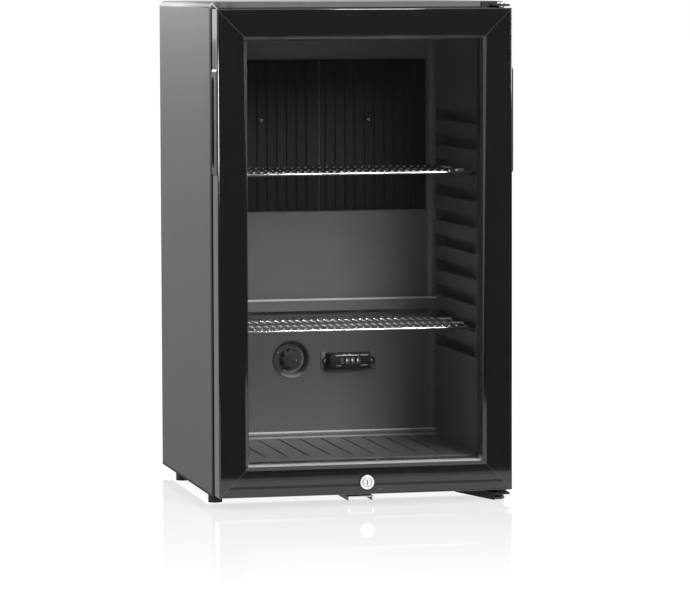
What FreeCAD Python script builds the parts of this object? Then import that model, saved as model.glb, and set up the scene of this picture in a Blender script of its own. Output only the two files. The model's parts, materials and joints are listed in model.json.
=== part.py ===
import FreeCAD, Part
import math
import os
import Sketcher

os.makedirs("parts", exist_ok=True)
doc = FreeCAD.newDocument("minibar_fridge")
V = FreeCAD.Vector

# Driving sizes in millimetres; the note says what each one is
SIZES = [
    ("cabinet_width", 400, "cabinet and door across the front"),
    ("cabinet_height", 658, "front frame, bottom to top"),
    ("cabinet_clearance", 12, "underside of the cabinet above the floor"),
    ("shell_depth", 375, "painted side, front to back"),
    ("shell_corner", 8, "rounded top corner of the shell"),
    ("sheet_gauge", 1, "painted steel sheet"),
    ("rear_fold", 14, "rear edge of the shell folded in"),
    ("tray_rim", 3, "height of the base tray rim"),
    ("frame_depth", 11, "front frame, front to back"),
    ("mitre_line", 0.6, "width and depth of the mitre lines"),
    ("mitre_reach", 60, "length of the mitre lines"),
    ("side_insulation", 35, "inside wall from the outside of the cabinet"),
    ("roof_insulation", 42, "inside roof below the top of the cabinet"),
    ("unit_bay", 102, "space for the cooling unit behind the foam"),
    ("cavity_floor", 60, "inside floor above the ground"),
    ("cavity_corner", 10, "rounded rear corners of the inside"),
    ("liner_wall", 2, "moulded liner"),
    ("rear_insulation", 33, "foam behind the liner"),
    ("guide_rise", 15, "height of a shelf guide groove"),
    ("guide_sink", 16, "depth of a shelf guide groove"),
    ("guide_first", 128.4, "lowest guide above the inside floor"),
    ("guide_last", 108.7, "highest guide below the inside roof"),
    ("guide_margin", 6, "guide ends from the liner ends"),
    ("gutter_reach", 15, "drip gutter, out from the back wall"),
    ("gutter_height", 15.6, "drip gutter, bottom to lip"),
    ("gutter_rise", 15.4, "drip gutter above the bottom of the second guide"),
    ("floor_groove_width", 4, "grooves in the inside floor"),
    ("floor_groove_sink", 1.2, "depth of the floor grooves"),
    ("floor_groove_front", 26, "floor grooves behind the front frame"),
    ("floor_groove_rear", 11, "floor grooves from the back wall"),
    ("floor_groove_margin", 15, "outer floor grooves from the side walls"),
    ("floor_groove_shift", 2.5, "floor grooves left of the middle"),
    ("plate_margin", 13, "evaporator plate from the side wall"),
    ("plate_top", 40, "evaporator plate below the inside roof"),
    ("plate_level", 318, "evaporator plate above the inside floor"),
    ("plate_gauge", 3, "evaporator plate without its ribs"),
    ("plate_seam", 2, "gap between the two plates"),
    ("rib_width", 10.5, "broad rib of the evaporator plate"),
    ("rib_height", 3.5, "rib out from the plate"),
    ("rib_corner", 3.5, "rounded corners of a rib"),
    ("rib_side", 7.5, "plate edge beside the outer ribs"),
    ("rib_margin", 2.5, "plate edge above and below the ribs"),
    ("plate_screw_rise", 21.5, "plate screws above the middle of the plates"),
    ("liner_screw_head", 4, "head radius of the screws in the liner"),
    ("liner_screw_rise", 2.4, "head height of the screws in the liner"),
    ("liner_screw_shank", 1.9, "shank radius of the screws in the liner"),
    ("liner_screw_reach", 9, "shank length of the screws in the liner"),
    ("block_width", 100, "evaporator block across"),
    ("block_height", 52, "evaporator block, bottom to top"),
    ("block_depth", 12, "evaporator block, front to back"),
    ("knob_offset", 41, "thermostat left of the middle"),
    ("knob_level", 111, "thermostat above the inside floor"),
    ("bezel_radius", 26.5, "thermostat bezel rim"),
    ("bezel_rim", 2, "thickness of the bezel"),
    ("dish_radius", 22, "inside of the thermostat dish"),
    ("dish_sink", 10, "depth of the thermostat dish"),
    ("knob_radius", 15, "thermostat knob"),
    ("knob_length", 14, "thermostat knob, front to back"),
    ("knob_clearance", 0.6, "knob to the bottom of its dish"),
    ("scallop_radius", 2.6, "finger scallops around the knob"),
    ("shaft_radius", 3, "thermostat shaft"),
    ("shaft_clearance", 0.05, "round the thermostat shaft"),
    ("shaft_socket", 8, "how far the shaft goes into the knob"),
    ("stat_width", 34, "thermostat body across"),
    ("stat_height", 26, "thermostat body, bottom to top"),
    ("stat_depth", 20, "thermostat body, front to back"),
    ("capillary_radius", 1.2, "thermostat capillary tube"),
    ("capillary_bend", 7.2, "bends of the capillary tube"),
    ("lamp_offset", 40.5, "lamp right of the middle"),
    ("lamp_level", 107, "lamp above the inside floor"),
    ("lamp_plate_width", 79, "lamp mounting plate across"),
    ("lamp_plate_height", 25, "lamp mounting plate, bottom to top"),
    ("lamp_plate_gauge", 2, "lamp mounting plate"),
    ("lamp_width", 60, "lamp housing across"),
    ("lamp_height", 20.5, "lamp housing, bottom to top"),
    ("lamp_depth", 14, "lamp housing out from its plate"),
    ("lamp_wall", 2, "walls of the lamp housing"),
    ("lamp_window_width", 4.6, "light window across"),
    ("lamp_window_height", 6, "light window, bottom to top"),
    ("lamp_window_spacing", 7.8, "from one light window to the next"),
    ("lamp_slot", 1.3, "slots between the lamp housing fins"),
    ("lamp_screw_offset", 33.5, "lamp screws from the lamp's middle"),
    ("lens_gauge", 1.5, "clear lens in the lamp"),
    ("board_gauge", 1.6, "lamp circuit board"),
    ("chip_size", 3.5, "light chip"),
    ("chip_rise", 1.4, "light chip, off the board"),
    ("shelf_front", 85, "shelf front behind the door's front"),
    ("shelf_rear", 14, "shelf from the back wall"),
    ("shelf_frame_radius", 2.5, "outer shelf wire"),
    ("shelf_wire_radius", 1.25, "inner shelf wires"),
    ("shelf_corner", 16, "bend of the outer shelf wire"),
    ("shelf_side_clearance", 6, "shelf to the guide"),
    ("shelf_overhang", 3, "inner wires past the outer wire"),
    ("shelf_wire_margin", 28.2, "first inner wire from the outer wire"),
    ("drain_radius", 5, "drain tube"),
    ("drain_bore", 3.8, "inside of the drain tube"),
    ("drain_bend", 10, "bend of the drain tube"),
    ("drain_drop", 15, "falling part of the drain tube behind the rear wall"),
    ("drain_inset", 20, "drain left of the right end of the absorber vessel"),
    ("foot_radius", 9.5, "plain foot"),
    ("foot_inset", 12, "foot middle from the side"),
    ("foot_front", 93, "front foot behind the door's front"),
    ("foot_rear", 94, "rear foot from the shell's rear"),
    ("door_clearance", 16, "door above the floor"),
    ("door_drop", 9, "door top below the top of the cabinet"),
    ("door_thickness", 33, "door, front to back"),
    ("gasket_gap", 10, "gap between door and cabinet"),
    ("gasket_clearance", 0.3, "gasket to the front frame"),
    ("member_width", 40, "door frame member across its face"),
    ("member_lip", 5, "lip in front of the glass"),
    ("member_bevel", 4.4, "bevel around the glass"),
    ("member_round", 2, "rounded outer front edge of the door"),
    ("rebate_inset", 28, "rebate for the glass from the door edge"),
    ("chamber_inset", 6, "hollow of the member from its faces"),
    ("chamber_width", 15, "hollow of the member across"),
    ("chamber_back", 8, "wall behind the hollow of the member"),
    ("key_leg", 42, "leg of a corner key"),
    ("key_clearance", 0.2, "corner key in its hollow"),
    ("glass_gauge", 4, "one pane"),
    ("glass_edge", 1, "pane edge to the rebate"),
    ("spacer_depth", 12, "between the panes"),
    ("spacer_inset", 2, "spacer from the pane edge"),
    ("spacer_show", 1.5, "spacer seen inside the frame"),
    ("gasket_inset", 21, "gasket from the door edge"),
    ("gasket_width", 12, "gasket across"),
    ("gasket_fold", 2.4, "fold in the gasket sides"),
    ("hinge_inset", 11, "hinge axis from the side"),
    ("hinge_setback", 16, "hinge axis behind the door's front"),
    ("pin_radius", 3, "hinge pin"),
    ("pin_clearance", 0.05, "pin in its bush"),
    ("pin_length", 13, "pin inside the door"),
    ("collar_radius", 6.5, "collar under the pin"),
    ("pin_cap_radius", 5.2, "head of the upper pin"),
    ("pin_cap_rise", 2.4, "head of the upper pin"),
    ("door_float", 0.3, "door to the pin collar"),
    ("bush_radius", 6, "hinge bush"),
    ("bush_length", 15, "hinge bush"),
    ("bracket_gauge", 3, "hinge bracket sheet"),
    ("bracket_reach", 46, "lower bracket under the cabinet"),
    ("bracket_front", 5, "bracket tip behind the door's front"),
    ("bracket_side", 2, "brackets from the cabinet side"),
    ("bracket_tip", 22, "lower bracket across its tip"),
    ("bracket_root", 52, "lower bracket across its root"),
    ("bracket_floor_gap", 2, "down-turned flange of the lower bracket above the floor"),
    ("bracket_flange_gauge", 1.5, "down-turned flange of the lower bracket"),
    ("hinge_plate_width", 30, "upper bracket across"),
    ("hinge_plate_height", 25, "upper bracket, bottom to top"),
    ("hinge_plate_gauge", 2.5, "upper bracket sheet"),
    ("tab_gap", 2, "upper bracket above the door"),
    ("foot_pad_radius", 8.5, "levelling foot pad"),
    ("foot_pad_height", 5, "levelling foot pad"),
    ("foot_stem_radius", 4, "levelling foot stem"),
    ("foot_stem_clearance", 0.05, "stem in the bracket"),
    ("foot_setback", 32, "levelling foot behind the door's front"),
    ("foot_collar_radius", 6, "nut of the levelling foot"),
    ("foot_collar_height", 2.6, "nut of the levelling foot"),
    ("plug_radius", 3.6, "hinge hole plug"),
    ("plug_shank", 2.4, "shank of the plug"),
    ("plug_rise", 1, "plug out from the frame"),
    ("plug_spacing", 15, "between the two plugs"),
    ("plug_reach", 8, "shank length of the plug"),
    ("screw_head", 4, "head radius of the fixing screws"),
    ("screw_rise", 2.2, "head height of the fixing screws"),
    ("screw_shank", 2, "shank radius of the fixing screws"),
    ("screw_reach", 7, "shank length of the upper bracket's screws"),
    ("bracket_screw_reach", 5.6, "shank length of the lower bracket's screws"),
    ("strike_screw_reach", 4.2, "shank length of the strike's screws"),
    ("lock_level", 16, "lock above the door's bottom edge"),
    ("lock_radius", 11, "chrome rim of the lock"),
    ("lock_flange", 1.5, "chrome rim, out from the door"),
    ("lock_case_radius", 8, "lock case in the door"),
    ("lock_plug_radius", 5.6, "lock core"),
    ("lock_plug_clearance", 0.08, "core in its case"),
    ("key_slot_width", 1.2, "key slot"),
    ("key_slot_height", 7, "key slot"),
    ("key_slot_sink", 6, "key slot depth"),
    ("cam_gap", 0.4, "cam behind the door"),
    ("cam_gauge", 2, "cam sheet"),
    ("cam_width", 9, "cam across"),
    ("cam_length", 24, "cam tip from the lock's middle"),
    ("cam_tail_radius", 2.5, "tail of the lock core through the cam"),
    ("cam_peen", 1.5, "peened end of the tail"),
    ("cam_peen_radius", 3.25, "peened end of the tail"),
    ("cam_shoulder_radius", 4.5, "shoulder of the lock core before the cam"),
    ("strike_width", 34, "strike across"),
    ("strike_shift", 5, "strike middle left of the lock"),
    ("strike_gauge", 1.5, "strike sheet"),
    ("strike_flange", 5, "strike sides, down from its plate"),
    ("strike_front", 15, "strike front behind the door's front"),
    ("strike_reach", 40, "strike under the cabinet"),
    ("strike_slot_clearance", 1.5, "cam in its slot"),
    ("strike_slot_reach", 16, "slot left of the lock, for the cam's swing"),
    ("grip_height", 140, "handle insert, bottom to top"),
    ("grip_rise", 1.5, "handle insert out from the side"),
    ("grip_margin", 1, "handle insert from the door faces"),
    ("grip_drop", 149, "handle insert middle below the door's top"),
    ("grip_pocket_height", 121, "finger recess, bottom to top"),
    ("grip_pocket_width", 15, "finger recess, front to back"),
    ("grip_pocket_sink", 12, "finger recess depth"),
    ("grip_wall", 1.5, "walls of the handle insert"),
    ("boiler_side", 60, "boiler middle from the shell's side"),
    ("boiler_case_gap", 8.5, "boiler case to the rear wall"),
    ("boiler_case_height", 275, "boiler case"),
    ("boiler_radius", 15, "boiler tube"),
    ("boiler_bottom", 45, "boiler tube bottom above the tray"),
    ("boiler_neck", 30, "boiler tube above its case"),
    ("heater_radius", 6, "heater cartridge"),
    ("heater_height", 120, "heater cartridge"),
    ("heater_gap", 0.6, "heater cartridge to the boiler tube"),
    ("unit_tube_radius", 8, "condenser and absorber tube"),
    ("unit_bend", 19, "bends of the unit tubes"),
    ("condenser_drop", 60, "condenser below the top of the cabinet"),
    ("fin_gap", 20.5, "condenser fin to the rear wall"),
    ("fin_gauge", 1, "condenser fin"),
    ("fin_start", 45, "first condenser fin from the boiler's middle"),
    ("fin_end", 25, "last condenser fin from the right end of the tube"),
    ("unit_side", 80, "right end of the unit tubes from the shell's side"),
    ("coil_start", 70, "absorber coil from the boiler's middle"),
    ("coil_drop", 61, "top of the absorber coil below the evaporator tube"),
    ("coil_rise", 115, "bottom run of the absorber coil above its vessel"),
    ("evaporator_spacing", 24, "between the evaporator tubes"),
    ("evaporator_radius", 7, "evaporator tube"),
    ("evaporator_bend", 11.9, "bends of the evaporator tube"),
    ("evaporator_exit", 20, "evaporator tube behind the rear wall"),
    ("vessel_radius", 27, "absorber vessel"),
    ("vessel_level", 15, "absorber vessel middle above the inside floor"),
    ("vessel_start", 80, "absorber vessel from the boiler's middle"),
    ("vessel_end", 40, "absorber vessel from the right end of the tubes"),
    ("exchanger_radius", 6, "heat exchanger tube"),
    ("strap_gauge", 2, "unit bracket sheet"),
    ("strap_flange", 15, "unit bracket flange"),
    ("strap_drain_gap", 24, "right unit bracket from the drain"),
    ("drip_depth", 73, "drip tray, front to back"),
    ("drip_height", 16, "drip tray"),
    ("drip_wall", 1.5, "drip tray wall"),
    ("drip_shift", 20, "drip tray right of the absorber vessel's ends"),
    ("drip_front", 4, "drip tray behind the rear wall"),
    ("terminal_width", 50, "terminal box across"),
    ("terminal_front", 17, "terminal box behind the rear wall"),
    ("terminal_height", 70, "terminal box"),
    ("terminal_wall", 2, "terminal box wall"),
    ("terminal_side", 8, "terminal box from the shell's side"),
    ("terminal_rear", 4, "terminal box from the shell's rear"),
    ("inlet_width", 32, "mains inlet across"),
    ("inlet_height", 24, "mains inlet, bottom to top"),
    ("inlet_depth", 14, "mains inlet, front to back"),
    ("inlet_wall", 2.5, "mains inlet wall"),
    ("inlet_pin", 2, "mains inlet pin across"),
    ("inlet_pin_height", 3, "mains inlet pin, bottom to top"),
    ("inlet_pin_sink", 6, "mains inlet pin tip inside the mouth"),
]

# Counts
GUIDE_COUNT = 10
RIB_COUNT = 10
FLOOR_GROOVE_COUNT = 11
SHELF_WIRE_COUNT = 30
SHELF_CROSS_COUNT = 2
LAMP_WINDOW_COUNT = 4
LAMP_SLOT_COUNT = 12
SCALLOP_COUNT = 12
FIN_COUNT = 18
COIL_RUNS = 6
UPPER_GUIDE_COUNT = 7
LOWER_GUIDE_COUNT = 1

# Shares of a named length
lamp_slot_sink_share = 0.75
lamp_slot_depth_share = 0.7
bracket_screw_shares = (0.3, 0.75)
hinge_screw_shares = (0.25, 0.75)
hinge_screw_drop_share = 0.72
strike_screw_share = 0.25
inlet_pin_shares = ((-0.25, 0), (0.25, 0), (0, 0.2))
coil_bend_share = 0.45
strap_share = 0.15

# Two lengths nearer than this are the same
same_length = 1e-4

sheet = doc.addObject("Spreadsheet::Sheet", "dims")
for row, (alias, value, note) in enumerate(SIZES, start=1):
    sheet.set(f"A{row}", alias)
    sheet.set(f"B{row}", str(value))
    sheet.setAlias(f"B{row}", alias)
    sheet.set(f"C{row}", note)
doc.recompute()


class Size:
    """A length with its present value and the sheet expression that gives it."""

    def __init__(self, value, text):
        self.value = float(value)
        self.text = text

    def __add__(self, other):
        other = size(other)
        return Size(self.value + other.value, f"({self.text} + {other.text})")

    def __sub__(self, other):
        other = size(other)
        return Size(self.value - other.value, f"({self.text} - {other.text})")

    def __mul__(self, number):
        return Size(self.value * number, f"({self.text} * ({number!r}))")

    def __truediv__(self, number):
        return Size(self.value / number, f"({self.text} / {number!r})")

    def __neg__(self):
        return Size(-self.value, f"(-{self.text})")

    __rmul__ = __mul__


def size(item):
    """The item as a Size."""
    if isinstance(item, Size):
        return item
    return Size(item, f"({item!r})")


class Dims:
    """The sheet's named sizes as attributes."""


d = Dims()
for alias, value, note in SIZES:
    setattr(d, alias, Size(sheet.get(alias), f"dims.{alias}"))

# Stations: front to back, bottom to top
zero = size(0)
half = d.cabinet_width / 2
depth = d.lock_flange + d.door_thickness + d.gasket_gap + d.frame_depth + d.shell_depth
y_front = d.lock_flange - depth / 2
y_door = y_front + d.door_thickness
y_frame = y_door + d.gasket_gap
y_shell = y_frame + d.frame_depth
y_rear = y_shell + d.shell_depth
y_foam = y_rear - d.unit_bay
y_liner = y_foam - d.rear_insulation
y_wall = y_liner - d.liner_wall
y_sheet = y_foam + d.sheet_gauge
y_unit = (y_sheet + y_rear) / 2
half_bay = (y_rear - y_sheet) / 2
z_base = d.cabinet_clearance
z_shell = z_base + d.tray_rim
z_top = z_base + d.cabinet_height
z_floor = d.cavity_floor
z_roof = z_top - d.roof_insulation
cavity = half - d.side_insulation
cavity_height = z_roof - z_floor
guide_span = cavity_height - d.guide_first - d.guide_rise - d.guide_last
guide_pitch = guide_span / (GUIDE_COUNT - 1)
gutter_level = d.guide_first + guide_pitch + d.gutter_rise
plate_width = cavity - d.plate_margin - d.plate_seam / 2
plate_height = cavity_height - d.plate_level - d.plate_top
rib_pitch = (plate_width - d.rib_width - d.rib_side * 2) / (RIB_COUNT - 1)
z_low = d.door_clearance
z_high = z_top - d.door_drop
x_hinge = half - d.hinge_inset
y_hinge = y_front + d.hinge_setback
z_lock = z_low + d.lock_level
x_boiler = d.boiler_side - half
x_right = half - d.unit_side
x_vessel = x_boiler + d.vessel_start
x_vessel_end = x_right - d.vessel_end
x_drain = x_vessel_end - d.drain_inset
z_vessel = z_floor + d.vessel_level
z_evap = z_floor + d.plate_level + (plate_height + d.evaporator_spacing) / 2
z_coil = z_evap - d.evaporator_spacing - d.coil_drop
coil_pitch = (z_coil - z_vessel - d.coil_rise) / (COIL_RUNS - 1)


def bind(item, prop, length):
    """Bind one property to a Size."""
    item.setExpression(prop, length.text)


def place(item, x, y, z, rotation=None):
    """Put an object at three Sizes, turned by a fixed rotation."""
    base = V(x.value, y.value, z.value)
    item.Placement = FreeCAD.Placement(base, rotation or FreeCAD.Rotation())
    bind(item, ".Placement.Base.x", x)
    bind(item, ".Placement.Base.y", y)
    bind(item, ".Placement.Base.z", z)
    return item


def box(name, x, y, z):
    """A box between pairs of Sizes."""
    item = doc.addObject("Part::Box", name)
    bind(item, "Length", size(x[1]) - x[0])
    bind(item, "Width", size(y[1]) - y[0])
    bind(item, "Height", size(z[1]) - z[0])
    return place(item, size(x[0]), size(y[0]), size(z[0]))


AXES = {"x": V(1, 0, 0), "y": V(0, 1, 0), "z": V(0, 0, 1)}


def rod(name, at, radius, length, axis="z"):
    """A cylinder from a point along an axis."""
    item = doc.addObject("Part::Cylinder", name)
    bind(item, "Radius", radius)
    bind(item, "Height", length)
    turn = FreeCAD.Rotation(V(0, 0, 1), AXES[axis])
    return place(item, size(at[0]), size(at[1]), size(at[2]), turn)


def fuse(name, *items):
    """One solid out of several."""
    item = doc.addObject("Part::MultiFuse", name)
    item.Shapes = list(items)
    item.Refine = True
    return item


def cut(name, base, *tools):
    """The base without the tools."""
    item = doc.addObject("Part::Cut", name)
    item.Base = base
    item.Tool = tools[0] if len(tools) == 1 else fuse(name + "_tools", *tools)
    return item


def group(name, *items):
    """Several solids in one sub-part."""
    item = doc.addObject("Part::Compound", name)
    item.Links = list(items)
    return item


def ring(name, outer, inner, y):
    """A rectangular frame: outer and inner are (half width, bottom, top)."""
    big = box(name + "_outer", (-outer[0], outer[0]), y, (outer[1], outer[2]))
    hole = box(name + "_inner", (-inner[0], inner[0]), y, (inner[1], inner[2]))
    return cut(name, big, hole)


def outline(body, name, role, offset, points):
    """A closed sketch on an origin plane of the body, each corner bound to the sheet."""
    item = body.newObject("Sketcher::SketchObject", name)
    plane = [f for f in body.Origin.OriginFeatures if f.Role == role][0]
    item.AttachmentSupport = [(plane, "")]
    item.MapMode = "FlatFace"
    bind(item, ".AttachmentOffset.Base.z", offset)
    count = len(points)
    for index, (across, along) in enumerate(points):
        nxt = points[(index + 1) % count]
        start = V(across.value, along.value, 0)
        item.addGeometry(Part.LineSegment(start, V(nxt[0].value, nxt[1].value, 0)), False)
    for index in range(count):
        after = (index + 1) % count
        item.addConstraint(Sketcher.Constraint("Coincident", index, 2, after, 1))
    for index, corner in enumerate(points):
        for kind, length in (("DistanceX", corner[0]), ("DistanceY", corner[1])):
            rule = Sketcher.Constraint(kind, -1, 1, index, 1, length.value)
            bind(item, f"Constraints[{item.addConstraint(rule)}]", length)
    return item


def prism(name, role, start, length, points):
    """A body padded from a sketch; start is where the pad begins along the plane's axis."""
    body = doc.addObject("PartDesign::Body", name)
    backward = role == "XZ_Plane"
    sketch = outline(body, name + "_sketch", role, -start if backward else start, points)
    pad = body.newObject("PartDesign::Pad", name + "_pad")
    pad.Profile = sketch
    pad.Reversed = backward
    bind(pad, "Length", length)
    doc.recompute()
    body.Tip = pad
    return body


def edge_names(shape, chosen):
    """Names of the edges that a test picks."""
    return [f"Edge{i}" for i, edge in enumerate(shape.Edges, start=1) if chosen(edge)]


def dress(body, kind, prop, length, chosen):
    """A fillet or chamfer on chosen edges of the body's last feature."""
    last = body.Tip
    item = body.newObject("PartDesign::" + kind, f"{body.Name}_{kind.lower()}")
    item.Base = (last, edge_names(last.Shape, chosen))
    bind(item, prop, length)
    doc.recompute()
    body.Tip = item
    return body


def near(first, second):
    """Two numbers that are the same length."""
    return abs(first - second) < same_length


def runs(edge, axis):
    """True for a straight edge along an axis."""
    if not isinstance(edge.Curve, (Part.Line, Part.LineSegment)):
        return False
    way = edge.Vertexes[-1].Point - edge.Vertexes[0].Point
    return way.cross(AXES[axis]).Length < same_length * way.Length


def path_wire(points, bend, closed=False):
    """Straight runs with round bends through the points."""
    count = len(points)
    corners = range(count) if closed else range(1, count - 1)
    cuts = {}
    for index in corners:
        here = points[index]
        back = (points[index - 1] - here).normalize()
        ahead = (points[(index + 1) % count] - here).normalize()
        angle = back.getAngle(ahead)
        reach = bend / math.tan(angle / 2)
        middle = (back + ahead).normalize() * (bend / math.sin(angle / 2) - bend)
        cuts[index] = (here + back * reach, here + middle, here + ahead * reach)
    edges = []
    for index in range(count if closed else count - 1):
        after = (index + 1) % count
        start = cuts[index][2] if index in cuts else points[index]
        end = cuts[after][0] if after in cuts else points[after]
        if (end - start).Length > same_length:
            edges.append(Part.makeLine(start, end))
        if after in cuts:
            edges.append(Part.Arc(*cuts[after]).toShape())
    return Part.Wire(Part.__sortEdges__(edges))


def swept(points, radius, bend, closed=False):
    """A round bar along a path."""
    wire = path_wire(points, bend, closed)
    first = wire.OrderedEdges[0]
    start = first.valueAt(first.FirstParameter)
    way = first.tangentAt(first.FirstParameter)
    circle = Part.Wire([Part.makeCircle(radius, start, way)])
    shape = wire.makePipeShell([circle], True, True)
    solid = shape if shape.ShapeType == "Solid" else Part.Solid(Part.Shell(shape.Faces))
    if solid.Volume < 0:
        solid.reverse()
    return solid


def point(x, y, z):
    """A point out of three Sizes."""
    return V(size(x).value, size(y).value, size(z).value)


def feature(name, shape):
    """A shape worked out from the sheet's sizes."""
    item = doc.addObject("Part::Feature", name)
    item.Shape = shape
    return item


def screw(name, at, way, head, rise, shank, reach):
    """Pan head and shank; way is the side the head is on, such as -y."""
    axis = way[1]
    sign = -1 if way[0] == "-" else 1
    place_at = "xyz".index(axis)
    cap = list(at)
    tail = list(at)
    if sign < 0:
        cap[place_at] = size(at[place_at]) - rise
    else:
        tail[place_at] = size(at[place_at]) - reach
    top = rod(name + "_head", cap, head, rise, axis)
    stem = rod(name + "_shank", tail, shank, reach, axis)
    return fuse(name, top, stem)


PARTS = []


def keep(item):
    """List an object as a finished sub-part; its label is its file name."""
    PARTS.append(item)
    return item


def shell_profile(inset):
    """Outline of the cabinet seen from the front, taken in by the inset."""
    side = half - inset
    return [(-side, z_shell), (side, z_shell), (side, z_top - inset), (-side, z_top - inset)]


def build_shell():
    """Painted wrap: two sides and a top, folded in at the rear."""
    gauge = d.sheet_gauge
    outer = prism("shell_block", "XZ_Plane", y_shell, d.shell_depth, shell_profile(zero))
    top = z_top.value
    dress(outer, "Fillet", "Radius", d.shell_corner,
          lambda e: runs(e, "y") and near(e.Vertexes[0].Z, top))
    inner = prism("shell_hollow", "XZ_Plane", y_shell, d.shell_depth, shell_profile(gauge))
    roof = (z_top - gauge).value
    dress(inner, "Fillet", "Radius", d.shell_corner - gauge,
          lambda e: runs(e, "y") and near(e.Vertexes[0].Z, roof))
    fold = d.rear_fold
    mouth = box("shell_mouth", (fold - half, half - fold), (y_shell, y_rear),
                (z_shell, z_top - fold))
    back = box("shell_back", (-half, half), (y_rear - gauge, y_rear), (z_shell, z_top))
    hollow = cut("shell_inside", inner, back)
    keep(cut("outer_shell", outer, hollow, mouth))
    return inner


def build_tray():
    """Shallow tray under the cabinet, open side down."""
    gauge = d.sheet_gauge
    block = box("tray_block", (-half, half), (y_shell, y_rear), (z_base, z_shell))
    hollow = box("tray_hollow", (gauge - half, half - gauge),
                 (y_shell + gauge, y_rear - gauge), (z_base, z_shell - gauge))
    return block, hollow


def build_front_frame(holes):
    """Ring around the mouth of the cabinet with mitre lines at its corners."""
    side = half
    block = prism("front_frame_block", "XZ_Plane", y_frame, d.frame_depth,
                  [(-side, z_base), (side, z_base), (side, z_top), (-side, z_top)])
    top = z_top.value
    dress(block, "Fillet", "Radius", d.shell_corner,
          lambda e: runs(e, "y") and near(e.Vertexes[0].Z, top))
    lip = d.liner_wall
    mouth = box("front_frame_mouth", (-cavity - lip, cavity + lip), (y_frame, y_shell),
                (z_floor - lip, z_roof + lip))
    lines = []
    for across in (-1, 1):
        for level, up in ((z_base, 1), (z_top, -1)):
            name = f"front_frame_line_{len(lines)}"
            line = doc.addObject("Part::Box", name)
            bind(line, "Length", d.mitre_reach)
            bind(line, "Width", d.mitre_line)
            bind(line, "Height", d.mitre_line)
            angle = math.degrees(math.atan2(up, -across))
            turn = FreeCAD.Rotation(V(0, 1, 0), -angle)
            place(line, half * across, y_frame, level, turn)
            lines.append(line)
    return cut("front_frame", block, mouth, *lines, *holes)


def guide_box(name, sign, index, grow):
    """One shelf guide groove in a side wall, grown on all sides but the open one."""
    low = z_floor + d.guide_first + guide_pitch * index
    x_open = cavity * sign
    x_deep = (cavity + d.guide_sink + grow) * sign
    x = (x_open, x_deep) if sign > 0 else (x_deep, x_open)
    y = (y_shell + d.guide_margin - grow, y_wall - d.guide_margin + grow)
    return box(name, x, y, (low - grow, low + d.guide_rise + grow))


def cavity_block():
    """The space inside the liner, with rounded rear corners."""
    block = prism("cavity", "XY_Plane", z_floor, cavity_height,
                  [(-cavity, y_frame), (cavity, y_frame), (cavity, y_wall), (-cavity, y_wall)])
    rear = y_wall.value
    return dress(block, "Fillet", "Radius", d.cavity_corner,
                 lambda e: all(near(v.Y, rear) for v in e.Vertexes))


def build_liner(holes):
    """Moulded tub: walls, shelf guides, drip gutter, grooved floor. Also gives its outside."""
    wall = d.liner_wall
    tub = box("liner_tub", (-cavity - wall, cavity + wall), (y_frame, y_liner),
              (z_floor - wall, z_roof + wall))
    bulges = []
    grooves = []
    for sign in (-1, 1):
        for index in range(GUIDE_COUNT):
            tag = f"{'l' if sign < 0 else 'r'}{index}"
            bulges.append(guide_box("bulge_" + tag, sign, index, wall))
            grooves.append(guide_box("groove_" + tag, sign, index, zero))
    outside = fuse("liner_outside", tub, *bulges)
    space = cavity_block()
    groove_span = (cavity - d.floor_groove_margin) * 2
    for index in range(FLOOR_GROOVE_COUNT):
        x_mid = groove_span * (index / (FLOOR_GROOVE_COUNT - 1) - 1 / 2) - d.floor_groove_shift
        grooves.append(box(f"floor_groove_{index}",
                           (x_mid - d.floor_groove_width / 2, x_mid + d.floor_groove_width / 2),
                           (y_shell + d.floor_groove_front, y_wall - d.floor_groove_rear),
                           (z_floor - d.floor_groove_sink, z_floor + d.floor_groove_sink)))
    hollow = fuse("liner_hollow", space, *grooves)
    skin = cut("liner_skin", outside, hollow)
    low = z_floor + gutter_level
    y_lip = y_wall - d.gutter_reach
    bar = box("gutter_bar", (-cavity, cavity), (y_lip, y_wall + wall / 2),
              (low, low + d.gutter_height))
    trough = box("gutter_trough", (wall - cavity, cavity - wall), (y_lip + wall, y_wall),
                 (low + wall, low + d.gutter_height))
    joined = fuse("liner_joined", skin, cut("gutter", bar, trough))
    keep(cut("inner_liner", joined, *holes))
    return outside


def evaporator_x(sign):
    """Middle of an evaporator plate."""
    return (plate_width + d.plate_seam) / 2 * sign


def evaporator_z():
    """Height of the evaporator screws."""
    return z_floor + d.plate_level + plate_height / 2


def rib_block(name, x_rib, z_ends):
    """A broad rib of an evaporator plate with rounded corners."""
    left = x_rib - d.rib_width / 2
    right = x_rib + d.rib_width / 2
    block = prism(name, "XZ_Plane", y_wall - d.plate_gauge - d.rib_height, d.rib_height,
                  [(left, z_ends[0]), (right, z_ends[0]), (right, z_ends[1]), (left, z_ends[1])])
    return dress(block, "Fillet", "Radius", d.rib_corner,
                 lambda e: near(e.Vertexes[0].X, e.Vertexes[-1].X)
                 and near(e.Vertexes[0].Z, e.Vertexes[-1].Z))


def build_evaporator(screws):
    """Two ribbed plates side by side on the back wall."""
    for sign, side in ((-1, "left"), (1, "right")):
        middle = evaporator_x(sign)
        z_plate = (z_floor + d.plate_level, z_floor + d.plate_level + plate_height)
        pieces = [box(f"plate_{side}", (middle - plate_width / 2, middle + plate_width / 2),
                      (y_wall - d.plate_gauge, y_wall), z_plate)]
        z_rib = (z_plate[0] + d.rib_margin, z_plate[1] - d.rib_margin)
        for index in range(RIB_COUNT):
            x_rib = middle + rib_pitch * (index - (RIB_COUNT - 1) / 2)
            pieces.append(rib_block(f"rib_{side}_{index}", x_rib, z_rib))
        plate = fuse(f"plate_{side}_ribbed", *pieces)
        keep(cut(f"evaporator_plate_{side}", plate, screws))


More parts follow.
